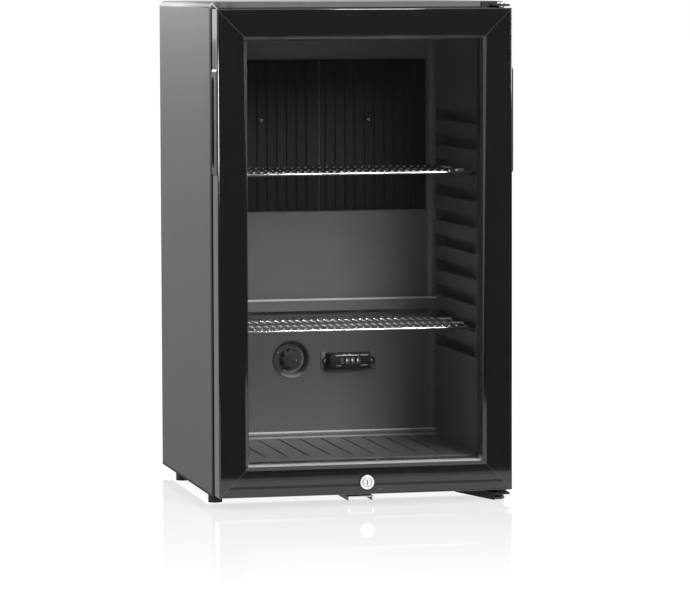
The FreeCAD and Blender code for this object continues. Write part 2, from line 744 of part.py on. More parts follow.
def build_evaporator_blocks():
    """Metal blocks behind the liner that take the cold from the tube to the plates."""
    blocks = []
    for sign, side in ((-1, "left"), (1, "right")):
        middle = evaporator_x(sign)
        level = evaporator_z()
        blocks.append(box(f"block_{side}", (middle - d.block_width / 2, middle + d.block_width / 2),
                          (y_liner, y_liner + d.block_depth),
                          (level - d.block_height / 2, level + d.block_height / 2)))
    return group("block_pair", *blocks)


def evaporator_tube_shape():
    """Tube that runs behind both blocks and back."""
    high = z_evap
    low = z_evap - d.evaporator_spacing
    y_run = y_liner + d.block_depth
    y_end = y_sheet + d.evaporator_exit
    right = x_right
    return swept([point(right, y_end, high), point(right, y_run, high), point(-right, y_run, high),
                  point(-right, y_run, low), point(right, y_run, low), point(right, y_end, low)],
                 d.evaporator_radius.value, d.evaporator_bend.value)


def liner_screws():
    """Screws of the evaporator plates and of the lamp."""
    made = []
    y_rib = y_wall - d.plate_gauge - d.rib_height
    z_plate = evaporator_z() + d.plate_screw_rise
    spots = [((evaporator_x(sign) - rib_pitch / 2, y_rib, z_plate),
              d.liner_screw_reach + d.rib_height) for sign in (-1, 1)]
    z_lamp = z_floor + d.lamp_level
    y_lamp = y_wall - d.lamp_plate_gauge
    spots += [((d.lamp_offset + d.lamp_screw_offset * sign, y_lamp, z_lamp),
               d.liner_screw_reach) for sign in (-1, 1)]
    for index, (spot, reach) in enumerate(spots):
        made.append(screw(f"liner_screw_{index}", spot, "-y", d.liner_screw_head,
                          d.liner_screw_rise, d.liner_screw_shank, reach))
    return keep(group("liner_screws", *made))


def build_thermostat():
    """Dish, knob, shaft, body and capillary tube."""
    x = -d.knob_offset
    z = z_floor + d.knob_level
    rim = d.bezel_rim
    y_dish = y_wall + d.dish_sink
    flange = rod("bezel_flange", (x, y_wall - rim, z), d.bezel_radius, rim, "y")
    cup = rod("bezel_cup", (x, y_wall, z), d.dish_radius + rim, d.dish_sink + rim, "y")
    dish = rod("bezel_dish", (x, y_wall - rim, z), d.dish_radius, d.dish_sink + rim, "y")
    hole = rod("bezel_hole", (x, y_dish, z), d.shaft_radius + d.shaft_clearance, rim, "y")
    bezel = keep(cut("thermostat_bezel", fuse("bezel_solid", flange, cup), dish, hole))
    y_end = y_dish - d.knob_clearance
    y_tip = y_end - d.knob_length
    body = rod("knob_body", (x, y_tip, z), d.knob_radius, d.knob_length, "y")
    bites = []
    for index in range(SCALLOP_COUNT):
        angle = math.radians(360 / SCALLOP_COUNT * (index + 1 / 2))
        reach = d.knob_radius + d.scallop_radius / 2
        spot = (x + reach * math.cos(angle), y_tip, z + reach * math.sin(angle))
        bites.append(rod(f"scallop_{index}", spot, d.scallop_radius, d.knob_length, "y"))
    socket = rod("knob_socket", (x, y_end - d.shaft_socket, z), d.shaft_radius, d.shaft_socket, "y")
    keep(cut("thermostat_knob", body, socket, *bites))
    keep(rod("thermostat_shaft", (x, y_end - d.shaft_socket, z), d.shaft_radius,
             d.shaft_socket + d.knob_clearance + rim + d.stat_depth / 2, "y"))
    y_stat = y_dish + rim
    block = box("stat_block", (x - d.stat_width / 2, x + d.stat_width / 2),
                (y_stat, y_stat + d.stat_depth), (z - d.stat_height / 2, z + d.stat_height / 2))
    bore = rod("stat_bore", (x, y_stat, z), d.shaft_radius + d.shaft_clearance,
               d.stat_depth / 2 + d.knob_clearance, "y")
    stat = keep(cut("thermostat_body", block, bore))
    y_start = y_stat + d.stat_depth / 2
    y_mid = y_liner + d.block_depth / 2
    z_end = evaporator_z() - d.block_height / 2
    line = [point(x, y_start, z + d.stat_height / 2), point(x, y_start, z_end - d.block_height),
            point(x, y_mid, z_end - d.block_height / 2), point(x, y_mid, z_end)]
    capillary = keep(feature("thermostat_capillary",
                             swept(line, d.capillary_radius.value, d.capillary_bend.value)))
    return bezel, block, capillary


def build_lamp(screws):
    """Finned housing on its plate, lens, board and light chips."""
    x = d.lamp_offset
    z = z_floor + d.lamp_level
    y_plate = y_wall - d.lamp_plate_gauge
    y_tip = y_plate - d.lamp_depth
    wall = d.lamp_wall
    plate = box("lamp_plate", (x - d.lamp_plate_width / 2, x + d.lamp_plate_width / 2),
                (y_plate, y_wall), (z - d.lamp_plate_height / 2, z + d.lamp_plate_height / 2))
    hood = box("lamp_hood", (x - d.lamp_width / 2, x + d.lamp_width / 2), (y_tip, y_plate),
               (z - d.lamp_height / 2, z + d.lamp_height / 2))
    room = box("lamp_room", (x - d.lamp_width / 2 + wall, x + d.lamp_width / 2 - wall),
               (y_tip + wall, y_wall), (z - d.lamp_height / 2 + wall, z + d.lamp_height / 2 - wall))
    tools = [room]
    chips = []
    y_board = y_plate - d.lens_gauge
    for index in range(LAMP_WINDOW_COUNT):
        x_win = x + d.lamp_window_spacing * (index - (LAMP_WINDOW_COUNT - 1) / 2)
        tools.append(box(f"lamp_window_{index}",
                         (x_win - d.lamp_window_width / 2, x_win + d.lamp_window_width / 2),
                         (y_tip, y_tip + wall),
                         (z - d.lamp_window_height / 2, z + d.lamp_window_height / 2)))
        chips.append(box(f"chip_{index}", (x_win - d.chip_size / 2, x_win + d.chip_size / 2),
                         (y_board - d.chip_rise, y_board),
                         (z - d.chip_size / 2, z + d.chip_size / 2)))
    for index in range(LAMP_SLOT_COUNT):
        x_slot = x + d.lamp_width / LAMP_SLOT_COUNT * (index - (LAMP_SLOT_COUNT - 1) / 2)
        for sign in (-1, 1):
            edge = z + d.lamp_height / 2 * sign
            inner = edge - wall * lamp_slot_sink_share * sign
            span = (inner, edge) if sign > 0 else (edge, inner)
            tools.append(box(f"lamp_slot_{index}_{'lu'[sign > 0]}",
                             (x_slot - d.lamp_slot / 2, x_slot + d.lamp_slot / 2),
                             (y_tip, y_tip + d.lamp_depth * lamp_slot_depth_share), span))
    keep(cut("lamp_housing", fuse("lamp_solid", plate, hood), screws, *tools))
    inside = (x - d.lamp_width / 2 + wall, x + d.lamp_width / 2 - wall)
    tall = (z - d.lamp_height / 2 + wall, z + d.lamp_height / 2 - wall)
    keep(box("lamp_lens", inside, (y_tip + wall, y_tip + wall + d.lens_gauge), tall))
    keep(box("lamp_board", inside, (y_board, y_board + d.board_gauge), tall))
    keep(group("lamp_leds", *chips))


def shelf_shape(guide):
    """Wire shelf lying in a pair of guides."""
    frame = d.shelf_frame_radius.value
    wire = d.shelf_wire_radius.value
    side = (cavity + d.guide_sink - d.shelf_side_clearance - d.shelf_frame_radius).value
    level = (z_floor + d.guide_first + guide_pitch * guide + d.shelf_frame_radius).value
    near_y = (y_front + d.shelf_front).value
    far_y = (y_wall - d.shelf_rear).value
    corners = [V(-side, near_y, level), V(side, near_y, level), V(side, far_y, level),
               V(-side, far_y, level)]
    solids = [swept(corners, frame, d.shelf_corner.value, closed=True)]
    inner = side - d.shelf_wire_margin.value
    over = d.shelf_overhang.value
    for index in range(SHELF_WIRE_COUNT):
        x = -inner + 2 * inner * index / (SHELF_WIRE_COUNT - 1)
        start = V(x, near_y - over, level + frame + wire)
        solids.append(Part.makeCylinder(wire, far_y - near_y + 2 * over, start, V(0, 1, 0)))
    for index in range(SHELF_CROSS_COUNT):
        y = near_y + (far_y - near_y) * (index + 1) / (SHELF_CROSS_COUNT + 1)
        start = V(frame - side, y, level + frame - wire)
        solids.append(Part.makeCylinder(wire, 2 * (side - frame), start, V(1, 0, 0)))
    return Part.makeCompound(solids)


def build_shelves():
    """Two shelves in their guides."""
    keep(feature("shelf_upper", shelf_shape(UPPER_GUIDE_COUNT)))
    keep(feature("shelf_lower", shelf_shape(LOWER_GUIDE_COUNT)))


def drain_tube():
    """Tube from the gutter through the wall, down to the drip tray."""
    z = z_floor + gutter_level + d.liner_wall + d.drain_bore
    y_drop = y_sheet + d.drain_drop
    z_end = z_vessel + d.vessel_radius + d.drip_height / 2
    path = [point(x_drain, y_wall, z), point(x_drain, y_drop, z), point(x_drain, y_drop, z_end)]
    bend = d.drain_bend.value
    outer = swept(path, d.drain_radius.value, bend)
    inner = swept(path, d.drain_bore.value, bend)
    keep(feature("drain_tube", outer.cut(inner)))
    return feature("drain_path", outer)


def build_drip_tray():
    """Tray on the absorber vessel where the drip water dries off."""
    low = z_vessel + d.vessel_radius
    x = (x_vessel + d.drip_shift, x_vessel_end + d.drip_shift)
    y = (y_sheet + d.drip_front, y_sheet + d.drip_front + d.drip_depth)
    wall = d.drip_wall
    block = box("drip_block", x, y, (low, low + d.drip_height))
    room = box("drip_room", (x[0] + wall, x[1] - wall), (y[0] + wall, y[1] - wall),
               (low + wall, low + d.drip_height))
    keep(cut("drip_tray", block, room))


def build_feet():
    """Plain feet: both at the rear, one at the front left."""
    spots = [(-1, y_front + d.foot_front), (-1, y_rear - d.foot_rear), (1, y_rear - d.foot_rear)]
    made = []
    for index, (sign, y_foot) in enumerate(spots):
        made.append(rod(f"foot_{index}", ((half - d.foot_inset) * sign, y_foot, zero),
                        d.foot_radius, z_shell - d.sheet_gauge))
    keep(group("feet", *made))


def hinge_pin(name, base, up):
    """Pin with its collar: base is the bracket face, up is 1 or -1."""
    if up > 0:
        collar = rod(name + "_collar", (x_hinge, y_hinge, base), d.collar_radius,
                     z_low - d.door_float - base)
        stem = rod(name + "_stem", (x_hinge, y_hinge, base - d.bracket_gauge), d.pin_radius,
                   z_low + d.pin_length - base + d.bracket_gauge)
        return fuse(name, collar, stem)
    cap = rod(name + "_cap", (x_hinge, y_hinge, base), d.pin_cap_radius, d.pin_cap_rise)
    stem = rod(name + "_stem", (x_hinge, y_hinge, z_high - d.pin_length), d.pin_radius,
               base - z_high + d.pin_length)
    return fuse(name, cap, stem)


def build_lower_hinge():
    """Bracket under the cabinet with its flange; gives its fixing screws and the foot hole."""
    z_plate = z_base - d.bracket_gauge
    right = half - d.bracket_side
    y_tip = y_front + d.bracket_front
    y_root = y_shell + d.bracket_reach
    tip = right - d.bracket_tip
    root = right - d.bracket_root
    plate = prism("lower_bracket_plate", "XY_Plane", z_plate, d.bracket_gauge,
                  [(tip, y_tip), (right, y_tip), (right, y_root), (root, y_root)])
    gauge = d.bracket_flange_gauge
    flange = prism("lower_bracket_flange", "XY_Plane", d.bracket_floor_gap,
                   z_plate - d.bracket_floor_gap,
                   [(tip, y_tip), (tip + gauge, y_tip), (root + gauge, y_root), (root, y_root)])
    pin_hole = rod("lower_pin_hole", (x_hinge, y_hinge, z_plate), d.pin_radius, d.bracket_gauge)
    x_foot = x_hinge
    y_foot = y_front + d.foot_setback
    foot_hole = rod("foot_hole", (x_foot, y_foot, z_plate),
                    d.foot_stem_radius + d.foot_stem_clearance, d.bracket_gauge)
    screws = []
    for index, share in enumerate(bracket_screw_shares):
        spot = (root + d.bracket_root / 2, y_shell + d.bracket_reach * share, z_plate)
        screws.append(screw(f"lower_screw_{index}", spot, "-z", d.screw_head, d.screw_rise,
                            d.screw_shank, d.bracket_screw_reach))
    whole = fuse("lower_bracket_solid", plate, flange)
    keep(cut("lower_hinge_bracket", whole, pin_hole, foot_hole, *screws))
    pad = rod("foot_pad", (x_foot, y_foot, zero), d.foot_pad_radius, d.foot_pad_height)
    nut = rod("foot_nut", (x_foot, y_foot, d.foot_pad_height), d.foot_collar_radius,
              z_plate - d.foot_pad_height - d.door_float)
    stem = rod("foot_stem", (x_foot, y_foot, d.foot_pad_height), d.foot_stem_radius,
               z_base + d.bracket_gauge / 2 - d.foot_pad_height)
    keep(fuse("levelling_foot", pad, nut, stem))
    return screws


def build_upper_hinge():
    """Angle bracket on the front frame with a tab over the door."""
    right = half - d.bracket_side
    left = right - d.hinge_plate_width
    z_tab = z_high + d.tab_gap
    plate = box("upper_plate", (left, right), (y_frame - d.hinge_plate_gauge, y_frame),
                (z_top - d.hinge_plate_height, z_top - d.mitre_line))
    tab = box("upper_tab", (x_hinge - d.collar_radius - d.tab_gap, right),
              (y_front + d.bracket_front, y_frame), (z_tab, z_tab + d.bracket_gauge))
    hole = rod("upper_pin_hole", (x_hinge, y_hinge, z_tab), d.pin_radius, d.bracket_gauge)
    screws = []
    for index, share in enumerate(hinge_screw_shares):
        spot = (left + d.hinge_plate_width * share, y_frame - d.hinge_plate_gauge,
                z_top - d.hinge_plate_height * hinge_screw_drop_share)
        screws.append(screw(f"upper_screw_{index}", spot, "-y", d.screw_head, d.screw_rise,
                            d.screw_shank, d.screw_reach))
    keep(cut("upper_hinge_bracket", fuse("upper_bracket_solid", plate, tab), hole, *screws))
    return screws


def hole_plugs():
    """Plugs in the unused hinge holes at the upper left."""
    made = []
    for index in range(2):
        x = -x_hinge + d.plug_spacing * index
        z = (z_high + z_top) / 2 + d.plug_rise / 2
        made.append(screw(f"plug_{index}", (x, y_frame, z), "-y", d.plug_radius, d.plug_rise,
                          d.plug_shank, d.plug_reach))
    return keep(group("hinge_hole_plugs", *made))


def build_strike():
    """Zinc channel under the door with a slot for the lock's cam."""
    middle = -d.strike_shift
    gauge = d.strike_gauge
    x = (middle - d.strike_width / 2, middle + d.strike_width / 2)
    y = (y_front + d.strike_front, y_shell + d.strike_reach)
    block = box("strike_block", x, y, (z_base - gauge - d.strike_flange, z_base))
    room = box("strike_room", (x[0] + gauge, x[1] - gauge), y,
               (z_base - gauge - d.strike_flange, z_base - gauge))
    clear = d.strike_slot_clearance
    y_cam = y_door + d.cam_gap
    slot = box("strike_slot", (-d.strike_slot_reach, d.cam_width / 2 + clear),
               (y_cam - clear, y_cam + d.cam_gauge + clear), (z_base - gauge, z_base))
    screws = []
    for index, sign in enumerate((-1, 1)):
        x_screw = middle + d.strike_width * strike_screw_share * sign
        spot = (x_screw, y_shell + d.strike_reach / 2, z_base - gauge)
        screws.append(screw(f"strike_screw_{index}", spot, "-z", d.screw_head, d.screw_rise,
                            d.screw_shank, d.strike_screw_reach))
    keep(cut("lock_strike", block, room, slot, *screws))
    return screws


def member(name, corners, front_edge, outer_edge):
    """One mitred member of the door frame with its bevel and rounded edge."""
    body = prism(name + "_bar", "XZ_Plane", y_front, d.door_thickness, corners)
    face = y_front.value

    def at_front(edge, fixed):
        on_face = all(near(v.Y, face) for v in edge.Vertexes)
        return on_face and all(near(getattr(v, fixed[0]), fixed[1].value) for v in edge.Vertexes)

    dress(body, "Chamfer", "Size", d.member_bevel, lambda e: at_front(e, front_edge))
    dress(body, "Fillet", "Radius", d.member_round, lambda e: at_front(e, outer_edge))
    return body


def inset_box(name, inset, y):
    """A box over the door face taken in by the inset."""
    return box(name, (inset - half, half - inset), y, (z_low + inset, z_high - inset))


def inset_ring(name, outer, inner, y):
    """A frame over the door face between two insets."""
    return ring(name, (half - outer, z_low + outer, z_high - outer),
                (half - inner, z_low + inner, z_high - inner), y)


def build_keys():
    """Angled keys inside the four corners of the frame."""
    gap = d.key_clearance
    outer = d.chamber_inset + gap
    inner = d.chamber_inset + d.chamber_width - gap
    y = (y_front + d.chamber_inset + gap, y_door - d.chamber_back - gap)
    made = []
    for across in (-1, 1):
        for low, up in ((z_low, 1), (z_high, -1)):
            tag = f"key_{'lr'[across > 0]}{'tb'[up > 0]}"
            legs = []
            for width, rise in ((inner, d.key_leg), (d.key_leg, inner)):
                x0 = (half - outer) * across
                x1 = (half - width) * across
                z0 = low + outer * up
                z1 = low + rise * up
                x = (x0, x1) if x0.value < x1.value else (x1, x0)
                z = (z0, z1) if z0.value < z1.value else (z1, z0)
                legs.append(box(f"{tag}_{len(legs)}", x, y, z))
            made.append(fuse(tag, *legs))
    return group("key_set", *made)


def bush_rods(name, radius, grow):
    """Four rods at the hinge axes of both sides, for bushes and their bores."""
    made = []
    for sign in (-1, 1):
        made.append(rod(f"{name}_low_{'lr'[sign > 0]}", (x_hinge * sign, y_hinge, z_low - grow),
                        radius, d.bush_length + grow))
        made.append(rod(f"{name}_high_{'lr'[sign > 0]}",
                        (x_hinge * sign, y_hinge, z_high - d.bush_length),
                        radius, d.bush_length + grow))
    return group(name, *made)


def grip_span(extra):
    """Bottom and top of the handle recess, grown by the extra."""
    middle = z_high - d.grip_drop
    return (middle - d.grip_pocket_height / 2 - extra, middle + d.grip_pocket_height / 2 + extra)


def build_grips():
    """Handle inserts in both sides; gives the cups that the stiles make room for."""
    cups = []
    wall = d.grip_wall
    y_mid = y_door - d.grip_margin - wall - d.grip_pocket_width / 2
    middle = z_high - d.grip_drop
    for sign, side in ((-1, "left"), (1, "right")):
        low = middle - d.grip_height / 2
        high = middle + d.grip_height / 2
        rise = d.grip_rise
        skin = prism(f"grip_{side}_skin", "XZ_Plane", y_front + d.grip_margin,
                     d.door_thickness - d.grip_margin * 2,
                     [(half * sign, low), ((half + rise) * sign, low + rise * 2),
                      ((half + rise) * sign, high - rise * 2), (half * sign, high)])
        deep = half - d.grip_pocket_sink - wall
        floor = half - d.grip_pocket_sink
        out = half + rise
        y_cup = (y_mid - d.grip_pocket_width / 2 - wall, y_mid + d.grip_pocket_width / 2 + wall)
        x_cup = (deep * sign, half * sign) if sign > 0 else (half * sign, deep * sign)
        cup = box(f"grip_{side}_cup", x_cup, y_cup, grip_span(wall))
        cups.append(cup)
        radius = d.grip_pocket_width / 2
        x_room = (floor * sign, out * sign) if sign > 0 else (out * sign, floor * sign)
        span = grip_span(zero)
        room = box(f"grip_{side}_room", x_room, (y_mid - radius, y_mid + radius),
                   (span[0] + radius, span[1] - radius))
        ends = []
        for index, level in enumerate((span[0] + radius, span[1] - radius)):
            ends.append(rod(f"grip_{side}_end_{index}", (x_room[0], y_mid, level), radius,
                            d.grip_pocket_sink + rise, "x"))
        keep(cut(f"handle_{side}", fuse(f"grip_{side}_solid", skin, cup), room, *ends))
    return cups


def build_door():
    """Frame members, glazing, gasket, keys, bushes, handles and lock."""
    wide = d.member_width
    z_in = (z_low + wide, z_high - wide)
    rebate = inset_box("door_rebate", d.rebate_inset, (y_front + d.member_lip, y_door))
    chamber = inset_ring("door_chamber", d.chamber_inset, d.chamber_inset + d.chamber_width,
                         (y_front + d.chamber_inset, y_door - d.chamber_back))
    bushes = bush_rods("bush_set", d.bush_radius, zero)
    bores = bush_rods("bush_bores", d.pin_radius + d.pin_clearance, zero)
    cups = build_grips()
    lock_hole = rod("lock_hole", (zero, y_front, z_lock), d.lock_case_radius, d.door_thickness, "y")
    tools = [rebate, chamber, bushes, lock_hole] + cups
    for sign, side in ((-1, "left"), (1, "right")):
        corners = [(half * sign, z_low), ((half - wide) * sign, z_in[0]),
                   ((half - wide) * sign, z_in[1]), (half * sign, z_high)]
        bar = member(f"stile_{side}", corners, ("X", (half - wide) * sign), ("X", half * sign))
        keep(cut(f"door_stile_{side}", bar, *tools))
    for level, inner, side in ((z_low, z_in[0], "bottom"), (z_high, z_in[1], "top")):
        corners = [(-half, level), (wide - half, inner), (half - wide, inner), (half, level)]
        bar = member(f"rail_{side}", corners, ("Z", inner), ("Z", level))
        keep(cut(f"door_rail_{side}", bar, *tools))
    keep(cut("corner_keys", build_keys(), bushes, lock_hole))
    keep(cut("hinge_bushes", bushes, bores))
    edge = d.rebate_inset + d.glass_edge
    y_pane = y_front + d.member_lip
    keep(inset_box("outer_glass", edge, (y_pane, y_pane + d.glass_gauge)))
    y_spacer = y_pane + d.glass_gauge
    keep(inset_ring("glazing_spacer", edge + d.spacer_inset, wide + d.spacer_show,
                    (y_spacer, y_spacer + d.spacer_depth)))
    y_inner = y_spacer + d.spacer_depth
    keep(inset_box("inner_glass", edge, (y_inner, y_inner + d.glass_gauge)))
    keep(inset_ring("glazing_bead", d.rebate_inset, wide, (y_inner + d.glass_gauge, y_door)))
    build_gasket()
    build_lock(lock_hole)


def build_gasket():
    """Magnetic seal with a fold along both sides."""
    y_end = y_frame - d.gasket_clearance
    inset = d.gasket_inset
    wide = d.gasket_width
    fold = d.gasket_fold
    solid = inset_ring("gasket_solid", inset, inset + wide, (y_door, y_end))
    y_fold = (y_door + fold, y_door + fold * 2)
    outer = inset_ring("gasket_outer_fold", inset, inset + fold, y_fold)
    inner = inset_ring("gasket_inner_fold", inset + wide - fold, inset + wide, y_fold)
    keep(cut("door_gasket", solid, outer, inner))


def build_lock(lock_hole):
    """Case with a chrome rim, core with a key slot and the cam on its peened tail."""
    y_rim = y_front - d.lock_flange
    rim = rod("lock_rim", (zero, y_rim, z_lock), d.lock_radius, d.lock_flange, "y")
    bore = rod("lock_bore", (zero, y_rim, z_lock), d.lock_plug_radius + d.lock_plug_clearance,
               d.lock_flange + d.door_thickness, "y")
    keep(cut("lock_case", fuse("lock_case_solid", rim, lock_hole), bore))
    y_cam = y_door + d.cam_gap
    core = rod("lock_core", (zero, y_rim, z_lock), d.lock_plug_radius,
               d.lock_flange + d.door_thickness, "y")
    shoulder = rod("lock_shoulder", (zero, y_door, z_lock), d.cam_shoulder_radius, d.cam_gap, "y")
    tail = rod("lock_tail", (zero, y_cam, z_lock), d.cam_tail_radius, d.cam_gauge, "y")
    peen = rod("lock_peen", (zero, y_cam + d.cam_gauge, z_lock), d.cam_peen_radius, d.cam_peen, "y")
    slot = box("key_slot", (-d.key_slot_width / 2, d.key_slot_width / 2),
               (y_rim, y_rim + d.key_slot_sink),
               (z_lock - d.key_slot_height / 2, z_lock + d.key_slot_height / 2))
    keep(cut("lock_plug", fuse("lock_core_solid", core, shoulder, tail, peen), slot))
    blade = box("cam_blade", (-d.cam_length, zero), (y_cam, y_cam + d.cam_gauge),
                (z_lock - d.cam_width / 2, z_lock + d.cam_width / 2))
    eye = rod("cam_eye", (zero, y_cam, z_lock), d.cam_width / 2, d.cam_gauge, "y")
    keep(cut("lock_cam", fuse("cam_solid", blade, eye), tail))


def build_unit():
    """Absorption cooling unit behind the rear wall."""
    z_boiler = z_shell + d.boiler_bottom
    z_neck = z_shell + d.boiler_case_height + d.boiler_neck
    case_radius = half_bay - d.boiler_case_gap
    tube = rod("boiler_rod", (x_boiler, y_unit, z_boiler), d.boiler_radius, z_neck - z_boiler)
    case = rod("case_can", (x_boiler, y_unit, z_shell), case_radius, d.boiler_case_height)
    gauge = d.sheet_gauge
    room = rod("case_room", (x_boiler, y_unit, z_shell + gauge), case_radius - gauge,
               d.boiler_case_height - gauge * 2)
    exchanger = rod("exchanger_rod", (x_boiler, y_unit, z_vessel), d.exchanger_radius,
                    x_vessel - x_boiler, "x")
    heater = rod("heater_cartridge",
                 (x_boiler + d.boiler_radius + d.heater_gap + d.heater_radius, y_unit,
                  z_boiler + d.heater_height / 2),
                 d.heater_radius, d.heater_height)
    keep(heater)
    keep(tube)
    tube.Label = "boiler_tube"
    keep(cut("boiler_case", case, room, tube, exchanger))
    keep(cut("boiler_wool", room, tube, exchanger, heater))
    keep(cut("heat_exchanger_tube", exchanger, tube))
    vessel = rod("absorber_vessel", (x_vessel, y_unit, z_vessel), d.vessel_radius,
                 x_vessel_end - x_vessel, "x")
    keep(vessel)
    radius = d.unit_tube_radius.value
    bend = d.unit_bend.value
    right = x_right
    z_cond = z_top - d.condenser_drop
    y_end = y_sheet + d.evaporator_exit
    keep(feature("condenser_tube", swept(
        [point(x_boiler, y_unit, z_neck), point(x_boiler, y_unit, z_cond),
         point(right, y_unit, z_cond), point(right, y_unit, z_evap), point(right, y_end, z_evap)],
        radius, bend)))
    z_low_end = z_evap - d.evaporator_spacing
    line = [point(right, y_end, z_low_end), point(right, y_unit, z_low_end)]
    at_right = True
    for index in range(COIL_RUNS):
        level = z_coil - coil_pitch * index
        ends = [right, x_boiler + d.coil_start]
        if not at_right:
            ends.reverse()
        line += [point(ends[0], y_unit, level), point(ends[1], y_unit, level)]
        at_right = not at_right
    line += [point(right, y_unit, z_vessel), point(x_vessel_end, y_unit, z_vessel)]
    turn = (coil_pitch * coil_bend_share).value
    coil = keep(feature("absorber_coil", swept(line, radius, turn)))
    fins = []
    x_first = x_boiler + d.fin_start
    fin_span = right - d.fin_end - x_first
    reach = half_bay - d.fin_gap
    for index in range(FIN_COUNT):
        x_fin = x_first + fin_span * (index / (FIN_COUNT - 1))
        fins.append(box(f"fin_{index}", (x_fin - d.fin_gauge / 2, x_fin + d.fin_gauge / 2),
                        (y_unit - reach, y_unit + reach), (z_cond - reach, z_cond + reach)))
    hole = rod("fin_hole", (x_boiler, y_unit, z_cond), d.unit_tube_radius, right - x_boiler, "x")
    keep(cut("condenser_fins", group("fin_row", *fins), hole))
    build_straps(vessel, coil)
    return tube


def build_straps(vessel, coil):
    """Two brackets that hold the coil and the vessel off the rear wall."""
    made = []
    z = (z_shell, z_coil + coil_pitch / 2)
    starts = (x_vessel + (x_vessel_end - x_vessel) * strap_share, x_drain - d.strap_drain_gap)
    for index, x in enumerate(starts):
        web = box(f"strap_web_{index}", (x, x + d.strap_gauge), (y_sheet, y_unit), z)
        foot = box(f"strap_flange_{index}", (x + d.strap_gauge, x + d.strap_flange),
                   (y_sheet, y_sheet + d.strap_gauge), z)
        made.append(fuse(f"strap_{index}", web, foot))
    tray_gap = box("strap_gap", (-half, half), (y_sheet + d.drip_front, y_rear),
                   (z_vessel + d.vessel_radius, z_vessel + d.vessel_radius + d.drip_height))
    keep(cut("unit_brackets", group("strap_pair", *made), vessel, coil, tray_gap))


def build_terminal_box():
    """Box for the wiring with the mains inlet in its rear face."""
    x = (half - d.terminal_side - d.terminal_width, half - d.terminal_side)
    y = (y_sheet + d.terminal_front, y_rear - d.terminal_rear)
    z = (z_shell, z_shell + d.terminal_height)
    wall = d.terminal_wall
    block = box("terminal_block", x, y, z)
    room = box("terminal_room", (x[0] + wall, x[1] - wall), (y[0] + wall, y[1] - wall),
               (z[0] + wall, z[1] - wall))
    x_mid = (x[0] + x[1]) / 2
    z_mid = (z[0] + z[1]) / 2
    across = (x_mid - d.inlet_width / 2, x_mid + d.inlet_width / 2)
    tall = (z_mid - d.inlet_height / 2, z_mid + d.inlet_height / 2)
    inlet = box("inlet_block", across, (y[1] - d.inlet_depth, y[1]), tall)
    rim = d.inlet_wall
    mouth = box("inlet_mouth", (across[0] + rim, across[1] - rim),
                (y[1] - d.inlet_depth + rim, y[1]), (tall[0] + rim, tall[1] - rim))
    keep(cut("terminal_box", block, room, inlet))
    pins = []
    for index, (side_share, lift_share) in enumerate(inlet_pin_shares):
        x_pin = x_mid + d.inlet_width * side_share
        z_pin = z_mid + d.inlet_height * lift_share - d.inlet_pin / 2
        pins.append(box(f"inlet_pin_{index}", (x_pin - d.inlet_pin / 2, x_pin + d.inlet_pin / 2),
                        (y[1] - d.inlet_depth, y[1] - d.inlet_pin_sink),
                        (z_pin, z_pin + d.inlet_pin_height)))
    keep(fuse("mains_inlet", cut("inlet_shell", inlet, mouth), *pins))


def build_all():
    """All sub-parts, from the cabinet inwards, then the door and the cooling unit."""
    inside = build_shell()
    screws = liner_screws()
    bezel, stat, capillary = build_thermostat()
    drain = drain_tube()
    lamp_cable = rod("lamp_cable_hole", (d.lamp_offset, y_wall, z_floor + d.lamp_level),
                     d.drain_bore, d.liner_wall, "y")
    build_evaporator(screws)
    build_lamp(screws)
    build_shelves()
    build_drip_tray()
    build_feet()
    build_door()
    build_unit()
    build_terminal_box()
    fixing = build_lower_hinge() + build_upper_hinge() + build_strike()
    keep(group("fixing_screws", *fixing))
    pins = [hinge_pin("lower_pin", z_base, 1),
            hinge_pin("upper_pin", z_high + d.tab_gap + d.bracket_gauge, -1)]
    keep(group("hinge_pins", *pins))
    plugs = hole_plugs()
    keep(build_front_frame([plugs] + fixing))
    tray, hollow = build_tray()
    keep(cut("base_tray", tray, hollow, *fixing))
    tube = feature("evaporator_tube_path", evaporator_tube_shape())
    blocks = keep(cut("evaporator_blocks", build_evaporator_blocks(), tube, screws))
    keep(feature("evaporator_tube", evaporator_tube_shape()))
    outside = build_liner([bezel_hole(), screws, drain, lamp_cable])
    block = prism("foam_block", "XZ_Plane", y_shell, y_foam - y_shell,
                  shell_profile(d.sheet_gauge))
    roof = (z_top - d.sheet_gauge).value
    dress(block, "Fillet", "Radius", d.shell_corner - d.sheet_gauge,
          lambda e: runs(e, "y") and near(e.Vertexes[0].Z, roof))
    solid_bezel = bezel_hole()
    keep(cut("foam_insulation", block, outside, solid_bezel, stat, capillary, drain, tube,
             build_evaporator_blocks(), screws, plugs, *fixing))
    sheet_block = box("rear_sheet_block", (d.sheet_gauge - half, half - d.sheet_gauge),
                      (y_foam, y_sheet), (z_shell, z_top - d.shell_corner))
    keep(cut("rear_wall_sheet", sheet_block, tube, drain))


def bezel_hole():
    """Room for the thermostat dish in the liner and the foam."""
    count = len([o for o in doc.Objects if o.Name.startswith("bezel_space")])
    return rod(f"bezel_space_{count}", (-d.knob_offset, y_wall, z_floor + d.knob_level),
               d.dish_radius + d.bezel_rim, d.dish_sink + d.bezel_rim, "y")


build_all()
doc.recompute()

for item in doc.Objects:
    if "Invalid" in item.State or "Error" in item.State:
        raise RuntimeError(f"{item.Label}: {item.State}")
for part in PARTS:
    if part.Shape.isNull() or not part.Shape.isValid():
        raise RuntimeError(f"{part.Label} has no valid shape")
    part.Shape.exportStep(f"parts/{part.Label}.step")
    print(part.Label, len(part.Shape.Solids), round(part.Shape.Volume), part.Shape.BoundBox)
print(len(PARTS), "sub-parts")
